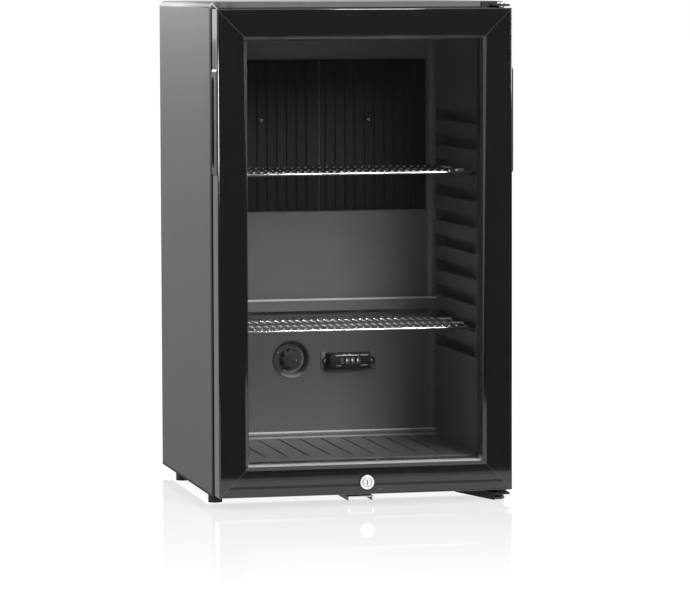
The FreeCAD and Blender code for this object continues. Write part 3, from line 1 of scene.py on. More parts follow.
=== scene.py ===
"""Looks of a minibar fridge with a glass door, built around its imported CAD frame.

The shell is satin painted steel, the door frame gloss black, the inside moulded dark grey
plastic with two bright wire shelves, a thermostat dial, a lamp and a black ribbed evaporator.
Places and sizes are in millimetres, most of them taken from the boxes of the CAD nodes, and
MM turns them into Blender's metres.
"""
import json
import math

import bpy
from mathutils import Matrix, Vector


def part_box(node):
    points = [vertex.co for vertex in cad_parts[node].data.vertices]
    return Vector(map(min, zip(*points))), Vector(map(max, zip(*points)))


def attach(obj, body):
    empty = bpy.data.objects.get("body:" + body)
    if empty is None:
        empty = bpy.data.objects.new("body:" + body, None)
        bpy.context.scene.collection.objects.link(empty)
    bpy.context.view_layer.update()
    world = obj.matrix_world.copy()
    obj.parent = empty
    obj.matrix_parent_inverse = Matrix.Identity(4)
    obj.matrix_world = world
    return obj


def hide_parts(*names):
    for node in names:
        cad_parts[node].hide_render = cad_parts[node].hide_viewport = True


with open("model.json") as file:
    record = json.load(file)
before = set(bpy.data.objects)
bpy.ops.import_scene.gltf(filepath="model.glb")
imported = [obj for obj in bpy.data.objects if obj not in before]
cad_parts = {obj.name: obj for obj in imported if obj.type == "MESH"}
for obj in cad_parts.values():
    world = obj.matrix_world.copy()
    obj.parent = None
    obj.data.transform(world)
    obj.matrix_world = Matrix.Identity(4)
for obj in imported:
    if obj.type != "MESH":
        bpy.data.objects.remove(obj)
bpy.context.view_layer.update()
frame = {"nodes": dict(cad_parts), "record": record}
nodes = frame["nodes"]

MM = 0.001


def corners(node):
    """Lowest and highest corner of a CAD node's box in millimetres."""
    return [Vector([round(value / MM, 2) for value in corner]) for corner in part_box(node)]


# ---------------------------------------------------------------- places of the frame

DOOR_LOW, DOOR_HIGH = corners("door_stile_left")[0], corners("door_stile_right")[1]
RAIL_LOW, RAIL_HIGH = corners("door_rail_bottom")
CABINET_HIGH = corners("front_frame")[1]
SHELF_LOW, SHELF_HIGH = corners("shelf_lower")
SHELF_STEP = corners("shelf_upper")[0].z - SHELF_LOW.z
DISH_LOW, DISH_HIGH = corners("thermostat_bezel")
KNOB_LOW, KNOB_HIGH = corners("thermostat_knob")
LAMP_LOW, LAMP_HIGH = corners("lamp_housing")
CHIPS_LOW = corners("lamp_leds")[0]
LOCK_LOW, LOCK_HIGH = corners("lock_case")
STRIKE_FRONT = corners("lock_strike")[0].y
FOOT_LOW, FOOT_HIGH = corners("levelling_foot")

# ---------------------------------------------------------------- small helpers


def linear(hex_colour):
    """An sRGB hex colour as linear RGBA."""
    parts = [int(hex_colour[at:at + 2], 16) / 255 for at in (1, 3, 5)]
    return tuple(p / 12.92 if p <= 0.04045 else ((p + 0.055) / 1.055) ** 2.4
                 for p in parts) + (1.0,)


def start_material(name):
    """An empty node material, its node tree and the object coordinates of its piece."""
    material = bpy.data.materials.new(name)
    material.use_nodes = True
    tree = material.node_tree
    tree.nodes.clear()
    return material, tree, add(tree, "TexCoord").outputs["Object"]


def add(tree, kind, inputs=None, **settings):
    """One shader node with its settings. An input is a value, a hex colour, an output of
    another node, or the node itself for the first of its outputs that is on."""
    made = tree.nodes.new("ShaderNode" + kind)
    for key, value in settings.items():
        setattr(made, key, value)
    for key, value in (inputs or {}).items():
        if isinstance(value, bpy.types.Node):
            value = next(socket for socket in value.outputs if socket.enabled)
        if isinstance(value, bpy.types.NodeSocket):
            tree.links.new(value, made.inputs[key])
        else:
            made.inputs[key].default_value = linear(value) if isinstance(value, str) else value
    return made


def end_material(material, shader):
    """Gives a material its surface shader."""
    add(material.node_tree, "OutputMaterial", {"Surface": shader})
    return material


def mottled(tree, place, scale, detail, dark, pale):
    """Noise, and the tone that it drifts through between two colours."""
    noise = add(tree, "TexNoise", {"Vector": place, "Scale": scale, "Detail": detail})
    return noise, add(tree, "Mix", {"Factor": noise, "A": dark, "B": pale}, data_type="RGBA")


def band(tree, value, middle, inner, outer, peak=1.0):
    """The peak up to an inner distance from the middle of a value, nought past an outer one."""
    apart = add(tree, "Math", {0: value, 1: middle}, operation="SUBTRACT")
    far = add(tree, "Math", {0: apart}, operation="ABSOLUTE")
    return add(tree, "MapRange", {"Value": far, "From Min": inner, "From Max": outer,
                                  "To Min": peak, "To Max": 0.0})


def deselect():
    """Nothing selected, object mode."""
    if bpy.context.object and bpy.context.object.mode != "OBJECT":
        bpy.ops.object.mode_set(mode="OBJECT")
    bpy.ops.object.select_all(action="DESELECT")


def paint(piece, *materials):
    """Gives a piece its materials in place of any it has."""
    piece.data.materials.clear()
    for material in materials:
        piece.data.materials.append(material)


def soften(name, width):
    """Joins a CAD node's loose triangles and rounds its edges, as modifiers."""
    segments, angle = 2, 35
    piece = nodes[name]
    weld = piece.modifiers.new("joined", "WELD")
    weld.merge_threshold = 0.01 * MM
    bevel = piece.modifiers.new("edges", "BEVEL")
    bevel.width = width * MM
    bevel.segments = segments
    bevel.limit_method = "ANGLE"
    bevel.angle_limit = math.radians(angle)
    bevel.harden_normals = True


# ---------------------------------------------------------------- materials


def satin_powder_coat():
    """Powder coated steel: dark grey, satin, a fine orange peel about 1.2 mm across."""
    material, tree, place = start_material("satin_powder_coat")
    peel = add(tree, "TexNoise", {"Vector": place, "Scale": 800, "Detail": 2})
    cloud, tone = mottled(tree, place, 9, 3, "#3e3e40", "#424244")
    rough = add(tree, "MapRange", {"Value": cloud, "To Min": 0.38, "To Max": 0.44})
    bump = add(tree, "Bump", {"Height": peel, "Strength": 0.12, "Distance": 0.00004})
    paint_shader = add(tree, "BsdfPrincipled", {"Base Color": tone, "Roughness": rough,
                                                "Normal": bump})
    return end_material(material, paint_shader)


def gloss_black_lacquer():
    """Lacquered aluminium profile: near black, mirror gloss, with the profile's two shallow
    contour lines along the bottom rail, a slight waviness, and pale mitre seams that are
    painted highlights."""
    material, tree, place = start_material("gloss_black_lacquer")
    axes = add(tree, "SeparateXYZ", {0: place})
    across = add(tree, "Math", {0: axes.outputs["X"]}, operation="ABSOLUTE")
    side = add(tree, "Math", {0: DOOR_HIGH.x * MM, 1: across}, operation="SUBTRACT")
    low = add(tree, "Math", {0: axes.outputs["Z"], 1: DOOR_LOW.z * MM}, operation="SUBTRACT")
    high = add(tree, "Math", {0: DOOR_HIGH.z * MM, 1: axes.outputs["Z"]}, operation="SUBTRACT")
    level = add(tree, "Math", {0: low, 1: high}, operation="MINIMUM")
    inset = add(tree, "Math", {0: side, 1: level}, operation="MINIMUM")
    share = add(tree, "MapRange", {"Value": inset, "From Max": (RAIL_HIGH.z - RAIL_LOW.z) * MM})
    contour = add(tree, "ValToRGB", {0: share})
    ramp = contour.color_ramp
    ramp.elements.remove(ramp.elements[1])
    ramp.elements[0].position = 0.28
    ramp.elements[0].color = (0.5, 0.5, 0.5, 1)
    for at, height in ((0.37, 0.3), (0.385, 0.5), (0.565, 0.5), (0.592, 0.43), (0.6, 0.5)):
        ramp.elements.new(at).color = (height, height, height, 1)
    fade = add(tree, "MapRange", {"Value": axes.outputs["Z"], "From Min": RAIL_HIGH.z * MM,
                                  "From Max": (RAIL_HIGH.z + 34) * MM, "To Min": 1.0,
                                  "To Max": 0.03})
    wave = add(tree, "TexNoise", {"Vector": place, "Scale": 14, "Detail": 1})
    dust, tone = mottled(tree, place, 60, 4, "#0e0e0f", "#121213")
    rough = add(tree, "MapRange", {"Value": dust, "To Min": 0.05, "To Max": 0.09})
    lines = add(tree, "Bump", {"Height": contour, "Strength": fade, "Distance": 0.0005})
    bump = add(tree, "Bump", {"Height": wave, "Strength": 0.25, "Distance": 0.0006,
                              "Normal": lines})
    # painted highlight: a pale grey line along the mitre seams
    seam = band(tree, side, level, 0.1 * MM, 0.4 * MM)
    paler_tone = add(tree, "Mix", {"Factor": seam, "A": tone, "B": "#3c3c3e"}, data_type="RGBA")
    lacquer = add(tree, "BsdfPrincipled", {"Base Color": paler_tone, "Roughness": rough,
                                           "Coat Weight": 0.6, "Coat Roughness": 0.03,
                                           "Normal": bump})
    return end_material(material, lacquer)


def satin_black_metal():
    """Rolled steel frame: grey with fine lines along its top edge; below that near black and
    less glossy, partly its satin black coat and partly painted shade of the gap behind the
    door; a pale line along each mitre is a painted highlight.
    """
    material, tree, place = start_material("satin_black_metal")
    axes = add(tree, "SeparateXYZ", {0: place})
    along = add(tree, "Mapping", {"Vector": place, "Scale": (1.5, 40, 420)})
    lines, paler_tone = mottled(tree, along, 3, 3, "#161617", "#3e3e40")
    # painted shade: under the grey top edge the face turns near black and reflects less
    top = add(tree, "MapRange", {"Value": axes.outputs["Z"],
                                 "From Min": (CABINET_HIGH.z - 7.8) * MM,
                                 "From Max": (CABINET_HIGH.z - 6.8) * MM})
    shine = add(tree, "MapRange", {"Value": top, "To Min": 0.1, "To Max": 0.5})
    tone = add(tree, "Mix", {"Factor": top, "A": "#0f0f10", "B": paler_tone}, data_type="RGBA")
    # painted highlight: a pale line along each mitre at the top corners
    across = add(tree, "Math", {0: axes.outputs["X"]}, operation="ABSOLUTE")
    corner = add(tree, "Math", {0: across, 1: axes.outputs["Z"]}, operation="SUBTRACT")
    seam = band(tree, corner, (CABINET_HIGH.x - CABINET_HIGH.z) * MM, 0.6 * MM, 1.1 * MM)
    mitre = add(tree, "Mix", {"Factor": seam, "A": tone, "B": "#b4b4b6"}, data_type="RGBA")
    rough = add(tree, "MapRange", {"Value": lines, "To Min": 0.42, "To Max": 0.5})
    coat = add(tree, "BsdfPrincipled", {"Base Color": mitre, "Roughness": rough,
                                        "Specular IOR Level": shine})
    return end_material(material, coat)


def moulded_liner_plastic():
    """Vacuum formed polystyrene: dark grey, soft sheen, a fine grain about 0.6 mm across. Pale
    bands along the gutter's lip and in the cove behind the floor are painted highlights."""
    material, tree, place = start_material("moulded_liner_plastic")
    grain = add(tree, "TexNoise", {"Vector": place, "Scale": 1600, "Detail": 2})
    _, tone = mottled(tree, place, 7, 2, "#636365", "#69696b")
    axes = add(tree, "SeparateXYZ", {"Vector": place})
    # painted highlights: pale bands at the gutter's lip and in the cove behind the floor
    lip_middle, cove_top, floor_fold, gutter_front = 254.1, 68.1, 61.2, 62.8
    lip = band(tree, axes.outputs["Z"], lip_middle * MM, 0.45 * MM, 0.9 * MM)
    cove = band(tree, axes.outputs["Z"], cove_top * MM, 0.55 * MM, 1.1 * MM)
    fold = band(tree, axes.outputs["Z"], floor_fold * MM, 0.6 * MM, 1.2 * MM, 0.6)
    ahead = add(tree, "Math", {0: axes.outputs["Y"], 1: gutter_front * MM},
                operation="GREATER_THAN")
    low = add(tree, "Math", {0: cove, 1: fold}, operation="ADD")
    edges = add(tree, "Math", {0: lip, 1: low}, operation="ADD")
    edge = add(tree, "Math", {0: edges, 1: ahead}, operation="MULTIPLY")
    paler_tone = add(tree, "Mix", {"Factor": edge, "A": tone, "B": "#dcdcde"}, data_type="RGBA")
    bump = add(tree, "Bump", {"Height": grain, "Strength": 0.15, "Distance": 0.00003})
    plastic = add(tree, "BsdfPrincipled", {"Base Color": paler_tone, "Roughness": 0.32, "Normal": bump})
    return end_material(material, plastic)


def black_enamel():
    """Enamelled plate or tube: black, low sheen, a slightly uneven coat."""
    material, tree, place = start_material("black_enamel")
    coat, tone = mottled(tree, place, 220, 3, "#0e0e0f", "#131314")
    bump = add(tree, "Bump", {"Height": coat, "Strength": 0.2, "Distance": 0.00008})
    enamel = add(tree, "BsdfPrincipled", {"Base Color": tone, "Roughness": 0.5,
                                          "Specular IOR Level": 0.18, "Normal": bump})
    return end_material(material, enamel)


def black_abs():
    """Moulded ABS: black, spark eroded grain about 0.8 mm across, soft sheen."""
    material, tree, place = start_material("black_abs")
    grain, tone = mottled(tree, place, 1250, 2, "#1d1d1e", "#262627")
    bump = add(tree, "Bump", {"Height": grain, "Strength": 0.25, "Distance": 0.00006})
    plastic = add(tree, "BsdfPrincipled", {"Base Color": tone, "Roughness": 0.32, "Normal": bump})
    return end_material(material, plastic)


def dial_plastic(name, dark, pale, roughness, low):
    """Moulded ABS of the thermostat: dark grey, fine grain about 0.8 mm across, soft sheen,
    its lowest part paler by the share low, a painted highlight where light falls on the dish's
    lower wall."""
    material, tree, place = start_material(name)
    grain, tone = mottled(tree, place, 1250, 2, dark, pale)
    bump = add(tree, "Bump", {"Height": grain, "Strength": 0.2, "Distance": 0.00005})
    height = add(tree, "SeparateXYZ", {"Vector": place}).outputs["Z"]
    # painted light: the lowest part turns paler by the share low
    below = add(tree, "MapRange", {"Value": height, "From Min": (DISH_LOW.z + 2) * MM,
                                   "From Max": (DISH_LOW.z + 9) * MM, "To Min": low,
                                   "To Max": 0.0})
    paler_tone = add(tree, "Mix", {"Factor": below, "A": tone, "B": "#a4a4a6"}, data_type="RGBA")
    plastic = add(tree, "BsdfPrincipled", {"Base Color": paler_tone, "Roughness": roughness,
                                           "Normal": bump})
    return end_material(material, plastic)


def lamp_moulding():
    """Lamp housing: black ABS hood on a plate that is the grey of the liner."""
    material, tree, place = start_material("lamp_moulding")
    axes = add(tree, "SeparateXYZ", {0: place})
    grain, black = mottled(tree, place, 1250, 2, "#121213", "#19191a")
    bump = add(tree, "Bump", {"Height": grain, "Strength": 0.2, "Distance": 0.00005})
    plate = add(tree, "MapRange", {"Value": axes.outputs["Y"],
                                   "From Min": (LAMP_HIGH.y - 2.2) * MM,
                                   "From Max": (LAMP_HIGH.y - 2.05) * MM})
    tone = add(tree, "Mix", {"Factor": plate, "A": black, "B": "#626264"}, data_type="RGBA")
    plastic = add(tree, "BsdfPrincipled", {"Base Color": tone, "Roughness": 0.36, "Normal": bump})
    return end_material(material, plastic)


def dark_zinc(name, axis, bright, dull):
    """Zinc plated steel: bright up to one place along an axis, dark and not metallic past the
    other. On the strike the dark part is painted shade behind its front lip; on the hinge pins
    it is just darker low down."""
    material, tree, place = start_material(name)
    axes = add(tree, "SeparateXYZ", {0: place})
    coat = add(tree, "TexNoise", {"Vector": place, "Scale": 300, "Detail": 2})
    # darker past a place along the axis: painted shade on the strike
    dark = add(tree, "MapRange", {"Value": axes.outputs[axis], "From Min": bright * MM,
                                  "From Max": dull * MM})
    metal = add(tree, "MapRange", {"Value": dark, "To Min": 1.0, "To Max": 0.0})
    rough = add(tree, "MapRange", {"Value": coat, "To Min": 0.3, "To Max": 0.45})
    tone = add(tree, "Mix", {"Factor": dark, "A": "#e2e2e0", "B": "#161617"}, data_type="RGBA")
    zinc = add(tree, "BsdfPrincipled", {"Base Color": tone, "Metallic": metal, "Roughness": rough})
    return end_material(material, zinc)


def cut_wire_end():
    """Sheared end of the plated wire: rough from the cut, painted near white and not metallic
    as a highlight on the cut ends.
    """
    material, tree, place = start_material("cut_wire_end")
    _, tone = mottled(tree, place, 1500, 2, "#c8c8c8", "#f0f0f0")
    steel = add(tree, "BsdfPrincipled", {"Base Color": tone, "Roughness": 0.55})
    return end_material(material, steel)


def lens_edge_glint():
    """Moulded edge of the clear lamp lens: pale, with a faint white glow that is a painted
    highlight where the edge catches the light.
    """
    material, tree, place = start_material("lens_edge_glint")
    _, tone = mottled(tree, place, 700, 3, "#b4b4b4", "#e6e6e6")
    # painted highlight: pale tone and a faint white glow on the lens's edge
    lens = add(tree, "BsdfPrincipled", {"Base Color": tone, "Roughness": 0.35,
                                        "Emission Color": "#ffffff", "Emission Strength": 0.3})
    return end_material(material, lens)


def white_print():
    """Screen printed ink on the dial: off white, a little worn through."""
    material, tree, place = start_material("white_print")
    _, tone = mottled(tree, place, 900, 3, "#9a9a9a", "#b8b8b8")
    ink = add(tree, "BsdfPrincipled", {"Base Color": tone, "Roughness": 0.5})
    return end_material(material, ink)


def rigid_foam():
    """Blown polyurethane foam: cream, matt, closed cells about 0.8 mm across."""
    material, tree, place = start_material("rigid_foam")
    cells = add(tree, "TexVoronoi", {"Vector": place, "Scale": 1200})
    bump = add(tree, "Bump", {"Height": cells, "Strength": 0.6, "Distance": 0.0003})
    tone = add(tree, "Mix", {"Factor": cells, "A": "#c9b47c", "B": "#e0cf9c"}, data_type="RGBA")
    foam = add(tree, "BsdfPrincipled", {"Base Color": tone, "Roughness": 0.9, "Normal": bump})
    return end_material(material, foam)


def galvanised_sheet():
    """Hot dip galvanised steel: pale grey, satin, crystal spangle about 8 mm across."""
    material, tree, place = start_material("galvanised_sheet")
    spangle = add(tree, "TexVoronoi", {"Vector": place, "Scale": 120})
    tone = add(tree, "Mix", {"Factor": spangle.outputs["Color"], "A": "#a9acae", "B": "#c2c5c7"},
               data_type="RGBA")
    rough = add(tree, "MapRange", {"Value": spangle.outputs["Color"], "To Min": 0.36,
                                   "To Max": 0.52})
    zinc = add(tree, "BsdfPrincipled", {"Base Color": tone, "Metallic": 1.0, "Roughness": rough})
    return end_material(material, zinc)


def bright_zinc():
    """Zinc plated and passivated steel: bright, slightly brushed."""
    material, tree, place = start_material("bright_zinc")
    along = add(tree, "Mapping", {"Vector": place, "Scale": (40, 1, 1)})
    brush, tone = mottled(tree, along, 60, 3, "#c6c6c4", "#dcdcda")
    rough = add(tree, "MapRange", {"Value": brush, "To Min": 0.2, "To Max": 0.34})
    zinc = add(tree, "BsdfPrincipled", {"Base Color": tone, "Metallic": 1.0, "Roughness": rough})
    return end_material(material, zinc)


def bright_plated_wire():
    """Drawn steel wire, nickel plated: bright, smooth, faint dull patches."""
    material, tree, place = start_material("bright_plated_wire")
    patch, tone = mottled(tree, place, 90, 2, "#d6d6d7", "#e4e4e5")
    rough = add(tree, "MapRange", {"Value": patch, "To Min": 0.08, "To Max": 0.16})
    wire = add(tree, "BsdfPrincipled", {"Base Color": tone, "Metallic": 1.0, "Roughness": rough})
    return end_material(material, wire)


def polished_chrome(name, sunk):
    """Chrome plated brass: bright satin face, a little handled, and past the depth sunk behind
    the lock's face painted dark as the shade in the key slot and the bore."""
    material, tree, place = start_material(name)
    touch = add(tree, "TexNoise", {"Vector": place, "Scale": 300, "Detail": 3})
    rough = add(tree, "MapRange", {"Value": touch, "To Min": 0.3, "To Max": 0.4})
    depth = add(tree, "SeparateXYZ", {"Vector": place}).outputs["Y"]
    # painted shade: dark past the depth sunk behind the lock's face
    inside = add(tree, "MapRange", {"Value": depth, "From Min": (LOCK_LOW.y + sunk) * MM,
                                    "From Max": (LOCK_LOW.y + sunk + 0.2) * MM})
    tone = add(tree, "Mix", {"Factor": inside, "A": "#f2f2f2", "B": "#2a2a2b"}, data_type="RGBA")
    chrome = add(tree, "BsdfPrincipled", {"Base Color": tone, "Metallic": 1.0, "Roughness": rough})
    return end_material(material, chrome)


def spacer_aluminium():
    """Coated spacer between the panes: satin, a row of small holes every 3 mm, pale along
    the bottom as painted light where the light falls on it, and painted dark grey up the sides
    and the top as their shade."""
    material, tree, place = start_material("spacer_aluminium")
    axes = add(tree, "SeparateXYZ", {0: place})
    holes = add(tree, "TexVoronoi", {"Vector": place, "Scale": 330, "Randomness": 0.0})
    dots = add(tree, "MapRange", {"Value": holes, "From Min": 0.2, "From Max": 0.3})
    tone = add(tree, "Mix", {"Factor": dots, "A": "#5c5c5e", "B": "#a8a8aa"}, data_type="RGBA")
    # painted shade: dark grey above the bottom rail's height
    high = add(tree, "MapRange", {"Value": axes.outputs["Z"], "From Min": (RAIL_HIGH.z + 2) * MM,
                                  "From Max": (RAIL_HIGH.z + 8) * MM})
    shade = add(tree, "Mix", {"Factor": high, "A": tone, "B": "#242425"}, data_type="RGBA")
    coat = add(tree, "BsdfPrincipled", {"Base Color": shade, "Roughness": 0.42})
    return end_material(material, coat)


def mill_aluminium():
    """Mill finish aluminium: pale, satin, fine rolling lines."""
    material, tree, place = start_material("mill_aluminium")
    along = add(tree, "Mapping", {"Vector": place, "Scale": (1, 1, 30)})
    lines, tone = mottled(tree, along, 120, 3, "#c4c4c6", "#d8d8da")
    rough = add(tree, "MapRange", {"Value": lines, "To Min": 0.28, "To Max": 0.42})
    metal = add(tree, "BsdfPrincipled", {"Base Color": tone, "Metallic": 1.0, "Roughness": rough})
    return end_material(material, metal)


def float_glass():
    """Clear float glass: passes light and sight, mirrors more the flatter it is looked along."""
    material, tree, place = start_material("float_glass")
    wave = add(tree, "TexNoise", {"Vector": place, "Scale": 3, "Detail": 1})
    bump = add(tree, "Bump", {"Height": wave, "Strength": 0.05, "Distance": 0.0002})
    facing = add(tree, "LayerWeight", {"Blend": 0.5})
    steep = add(tree, "Math", {0: facing.outputs["Facing"], 1: 5.0}, operation="POWER")
    share = add(tree, "MapRange", {"Value": steep, "To Min": 0.04})
    clear = add(tree, "BsdfTransparent", {"Color": "#fafafa"})
    shine = add(tree, "BsdfPrincipled", {"Base Color": "#ffffff", "Metallic": 1.0,
                                         "Roughness": 0.0, "Normal": bump})
    pane = add(tree, "MixShader", {0: share, 1: clear, 2: shine})
    return end_material(material, pane)


def clear_lens():
    """Clear polycarbonate: a little cloudy from its mould."""
    material, tree, place = start_material("clear_lens")
    haze = add(tree, "TexNoise", {"Vector": place, "Scale": 200, "Detail": 2})
    rough = add(tree, "MapRange", {"Value": haze, "To Min": 0.05, "To Max": 0.2})
    lens = add(tree, "BsdfPrincipled", {"Base Color": "#f4f4f4", "Roughness": rough, "IOR": 1.58,
                                        "Transmission Weight": 1.0})
    clear = add(tree, "BsdfTransparent", {"Color": "#eeeeee"})
    path = add(tree, "LightPath")
    either = add(tree, "MixShader", {0: path.outputs["Is Shadow Ray"], 1: lens, 2: clear})
    return end_material(material, either)


def seal_rubber():
    """Extruded soft PVC: dark grey, matt, faint lines along the extrusion."""
    material, tree, place = start_material("seal_rubber")
    skin, tone = mottled(tree, place, 700, 2, "#131313", "#1a1a1a")
    bump = add(tree, "Bump", {"Height": skin, "Strength": 0.3, "Distance": 0.0001})
    rubber = add(tree, "BsdfPrincipled", {"Base Color": tone, "Roughness": 0.62,
                                          "Specular IOR Level": 0.2, "Normal": bump})
    return end_material(material, rubber)


def gloss_foot_plastic():
    """Moulded glossy black foot: slightly worn where it stands."""
    material, tree, place = start_material("gloss_foot_plastic")
    wear, tone = mottled(tree, place, 400, 3, "#2a2a2b", "#343435")
    rough = add(tree, "MapRange", {"Value": wear, "To Min": 0.16, "To Max": 0.26})
    plastic = add(tree, "BsdfPrincipled", {"Base Color": tone, "Roughness": rough,
                                           "Specular IOR Level": 0.9})
    return end_material(material, plastic)


def foot_rubber():
    """Moulded rubber foot: black, matt, scuffed."""
    material, tree, place = start_material("foot_rubber")
    _, tone = mottled(tree, place, 350, 4, "#171717", "#262626")
    rubber = add(tree, "BsdfPrincipled", {"Base Color": tone, "Roughness": 0.55})
    return end_material(material, rubber)


def coated_board():
    """White coated circuit board: fine weave of the glass cloth, 1 mm."""
    material, tree, place = start_material("coated_board")
    weave = add(tree, "TexWave", {"Vector": place, "Scale": 160}, wave_type="BANDS")
    tone = add(tree, "Mix", {"Factor": weave.outputs["Fac"], "A": "#d2d8d2", "B": "#e0e5e0"},
               data_type="RGBA")
    board = add(tree, "BsdfPrincipled", {"Base Color": tone, "Roughness": 0.4})
    return end_material(material, board)


def light_chip():
    """White light chip: a cream phosphor face made to glow as a painted highlight where it
    catches the light, the glow faint on the leftmost one.
    """
    material, tree, place = start_material("light_chip")
    grain = add(tree, "TexNoise", {"Vector": place, "Scale": 1500})
    tone = add(tree, "Mix", {"Factor": grain, "A": "#f3f1e8", "B": "#ffffff"}, data_type="RGBA")
    across = add(tree, "SeparateXYZ", {"Vector": place}).outputs["X"]
    # painted highlight: glow rising from faint on the leftmost chip
    glow = add(tree, "MapRange", {"Value": across, "From Min": (CHIPS_LOW.x + 3.95) * MM,
                                  "From Max": (CHIPS_LOW.x + 6.95) * MM, "To Min": 0.1,
                                  "To Max": 1.2})
    chip = add(tree, "BsdfPrincipled", {"Base Color": tone, "Roughness": 0.3,
                                        "Emission Color": "#ffffff", "Emission Strength": glow})
    return end_material(material, chip)


def pressed_mineral_wool():
    """Mineral wool: brown grey fibres about 0.1 mm thick, drawn at 0.5 mm to show."""
    material, tree, place = start_material("pressed_mineral_wool")
    along = add(tree, "Mapping", {"Vector": place, "Scale": (1, 1, 8)})
    fibre = add(tree, "TexNoise", {"Vector": along, "Scale": 260, "Detail": 6, "Distortion": 1.5})
    bump = add(tree, "Bump", {"Height": fibre, "Strength": 0.8, "Distance": 0.0006})
    tone = add(tree, "Mix", {"Factor": fibre, "A": "#8f8468", "B": "#cdc2a4"}, data_type="RGBA")
    wool = add(tree, "BsdfPrincipled", {"Base Color": tone, "Roughness": 0.95, "Normal": bump})
    return end_material(material, wool)


def drawn_copper():
    """Drawn copper capillary: warm, satin, dulled by handling."""
    material, tree, place = start_material("drawn_copper")
    _, tone = mottled(tree, place, 150, 3, "#b87b5a", "#e0a988")
    copper = add(tree, "BsdfPrincipled", {"Base Color": tone, "Metallic": 1.0, "Roughness": 0.35})
    return end_material(material, copper)


def white_polypropylene():
    """White polypropylene: milky, soft sheen, slight mould flow marks."""
    material, tree, place = start_material("white_polypropylene")
    _, tone = mottled(tree, place, 40, 3, "#d6d6d2", "#e4e4e0")
    plastic = add(tree, "BsdfPrincipled", {"Base Color": tone, "Roughness": 0.4})
    return end_material(material, plastic)


SHELL = satin_powder_coat()
LACQUER = gloss_black_lacquer()
FRAME_METAL = satin_black_metal()
LINER = moulded_liner_plastic()
ENAMEL = black_enamel()
ABS = black_abs()
DISH = dial_plastic("dish_plastic", "#444446", "#4c4c4e", 0.38, 1.0)
KNOB = dial_plastic("knob_plastic", "#2a2a2c", "#323234", 0.45, 0.0)
LAMP = lamp_moulding()
PRINT = white_print()
# painted shade: the strike is dark behind its front lip
STRIKE = dark_zinc("strike_zinc", "Y", STRIKE_FRONT + 0.35, STRIKE_FRONT + 0.95)
PIN = dark_zinc("pin_zinc", "Z", 400, 390)
CUT_END = cut_wire_end()
LENS_EDGE_GLOW = lens_edge_glint()
FOAM = rigid_foam()
GALVANISED = galvanised_sheet()
ZINC = bright_zinc()
WIRE = bright_plated_wire()
CHROME = polished_chrome("polished_chrome", 1000)
KEY_CHROME = polished_chrome("key_core_chrome", 0.35)
CASE_CHROME = polished_chrome("lock_case_chrome", 0.25)
SPACER = spacer_aluminium()
ALUMINIUM = mill_aluminium()
GLASS = float_glass()
LENS = clear_lens()
SEAL = seal_rubber()
FOOT_GLOSS = gloss_foot_plastic()
FOOT = foot_rubber()
BOARD = coated_board()
CHIP = light_chip()
WOOL = pressed_mineral_wool()
COPPER = drawn_copper()
WHITE = white_polypropylene()

BY_SLOT = {"shell_paint": SHELL, "black_enamel": ENAMEL, "frame_black": LACQUER,
           "black_plastic": ABS, "liner_grey": LINER, "foam": FOAM, "zinc_sheet": GALVANISED,
           "zinc_bright": ZINC, "bright_wire": WIRE, "chrome": CHROME, "aluminium": ALUMINIUM,
           "door_glass": GLASS, "lens_clear": LENS, "gasket_rubber": SEAL, "foot_rubber": FOOT,
           "board_white": BOARD, "led_white": CHIP, "mineral_wool": WOOL,
           "copper_tube": COPPER, "white_plastic": WHITE}

for part in frame["record"]["subparts"]:
    paint(nodes[part["node"]], BY_SLOT[part["material_slot"]])
paint(nodes["front_frame"], FRAME_METAL)
paint(nodes["glazing_spacer"], SPACER)
paint(nodes["lock_strike"], STRIKE)
paint(nodes["lock_plug"], KEY_CHROME)
paint(nodes["hinge_pins"], PIN)

# ---------------------------------------------------------------- rounded edges of the frame

for name, width in (("door_stile_left", 0.35), ("door_stile_right", 0.35),
                    ("door_rail_top", 0.8), ("door_rail_bottom", 0.5),
                    ("outer_shell", 0.8), ("base_tray", 0.4), ("front_frame", 0.5),
                    ("handle_left", 0.6), ("handle_right", 0.6),
                    ("lock_plug", 0.15), ("lock_cam", 0.2), ("lock_strike", 0.2),
                    ("lower_hinge_bracket", 0.5), ("upper_hinge_bracket", 0.3), ("feet", 0.8),
                    ("evaporator_plate_left", 0.4), ("evaporator_plate_right", 0.4),
                    ("terminal_box", 1.5), ("boiler_case", 0.8), ("drip_tray", 0.8),
                    ("mains_inlet", 0.6), ("hinge_pins", 0.4), ("hinge_hole_plugs", 0.3),
                    ("absorber_vessel", 1.0), ("unit_brackets", 0.3), ("inner_liner", 1.2)):
    soften(name, width)

# ---------------------------------------------------------------- modelling helpers


def metres(point):
    """A point in millimetres as metres."""
    return [value * MM for value in point]


def settle(name):
    """Names the new primitive and puts its place and turn into its mesh."""
    piece = bpy.context.object
    piece.name = name
    bpy.ops.object.transform_apply(location=True, rotation=True, scale=True)
    return piece


def block(name, low, high, turn=(0, 0, 0)):
    """A block between two corners in millimetres, turned about its middle in radians."""
    deselect()
    middle = [(a + b) / 2 for a, b in zip(low, high)]
    bpy.ops.mesh.primitive_cube_add(size=1, location=metres(middle), rotation=turn,
                                    scale=metres(b - a for a, b in zip(low, high)))
    return settle(name)


def only(piece):
    """Only this piece selected, in object mode."""
    deselect()
    piece.select_set(True)
    bpy.context.view_layer.objects.active = piece


def edit(piece):
    """Only this piece selected, in edit mode."""
    only(piece)
    bpy.ops.object.mode_set(mode="EDIT")


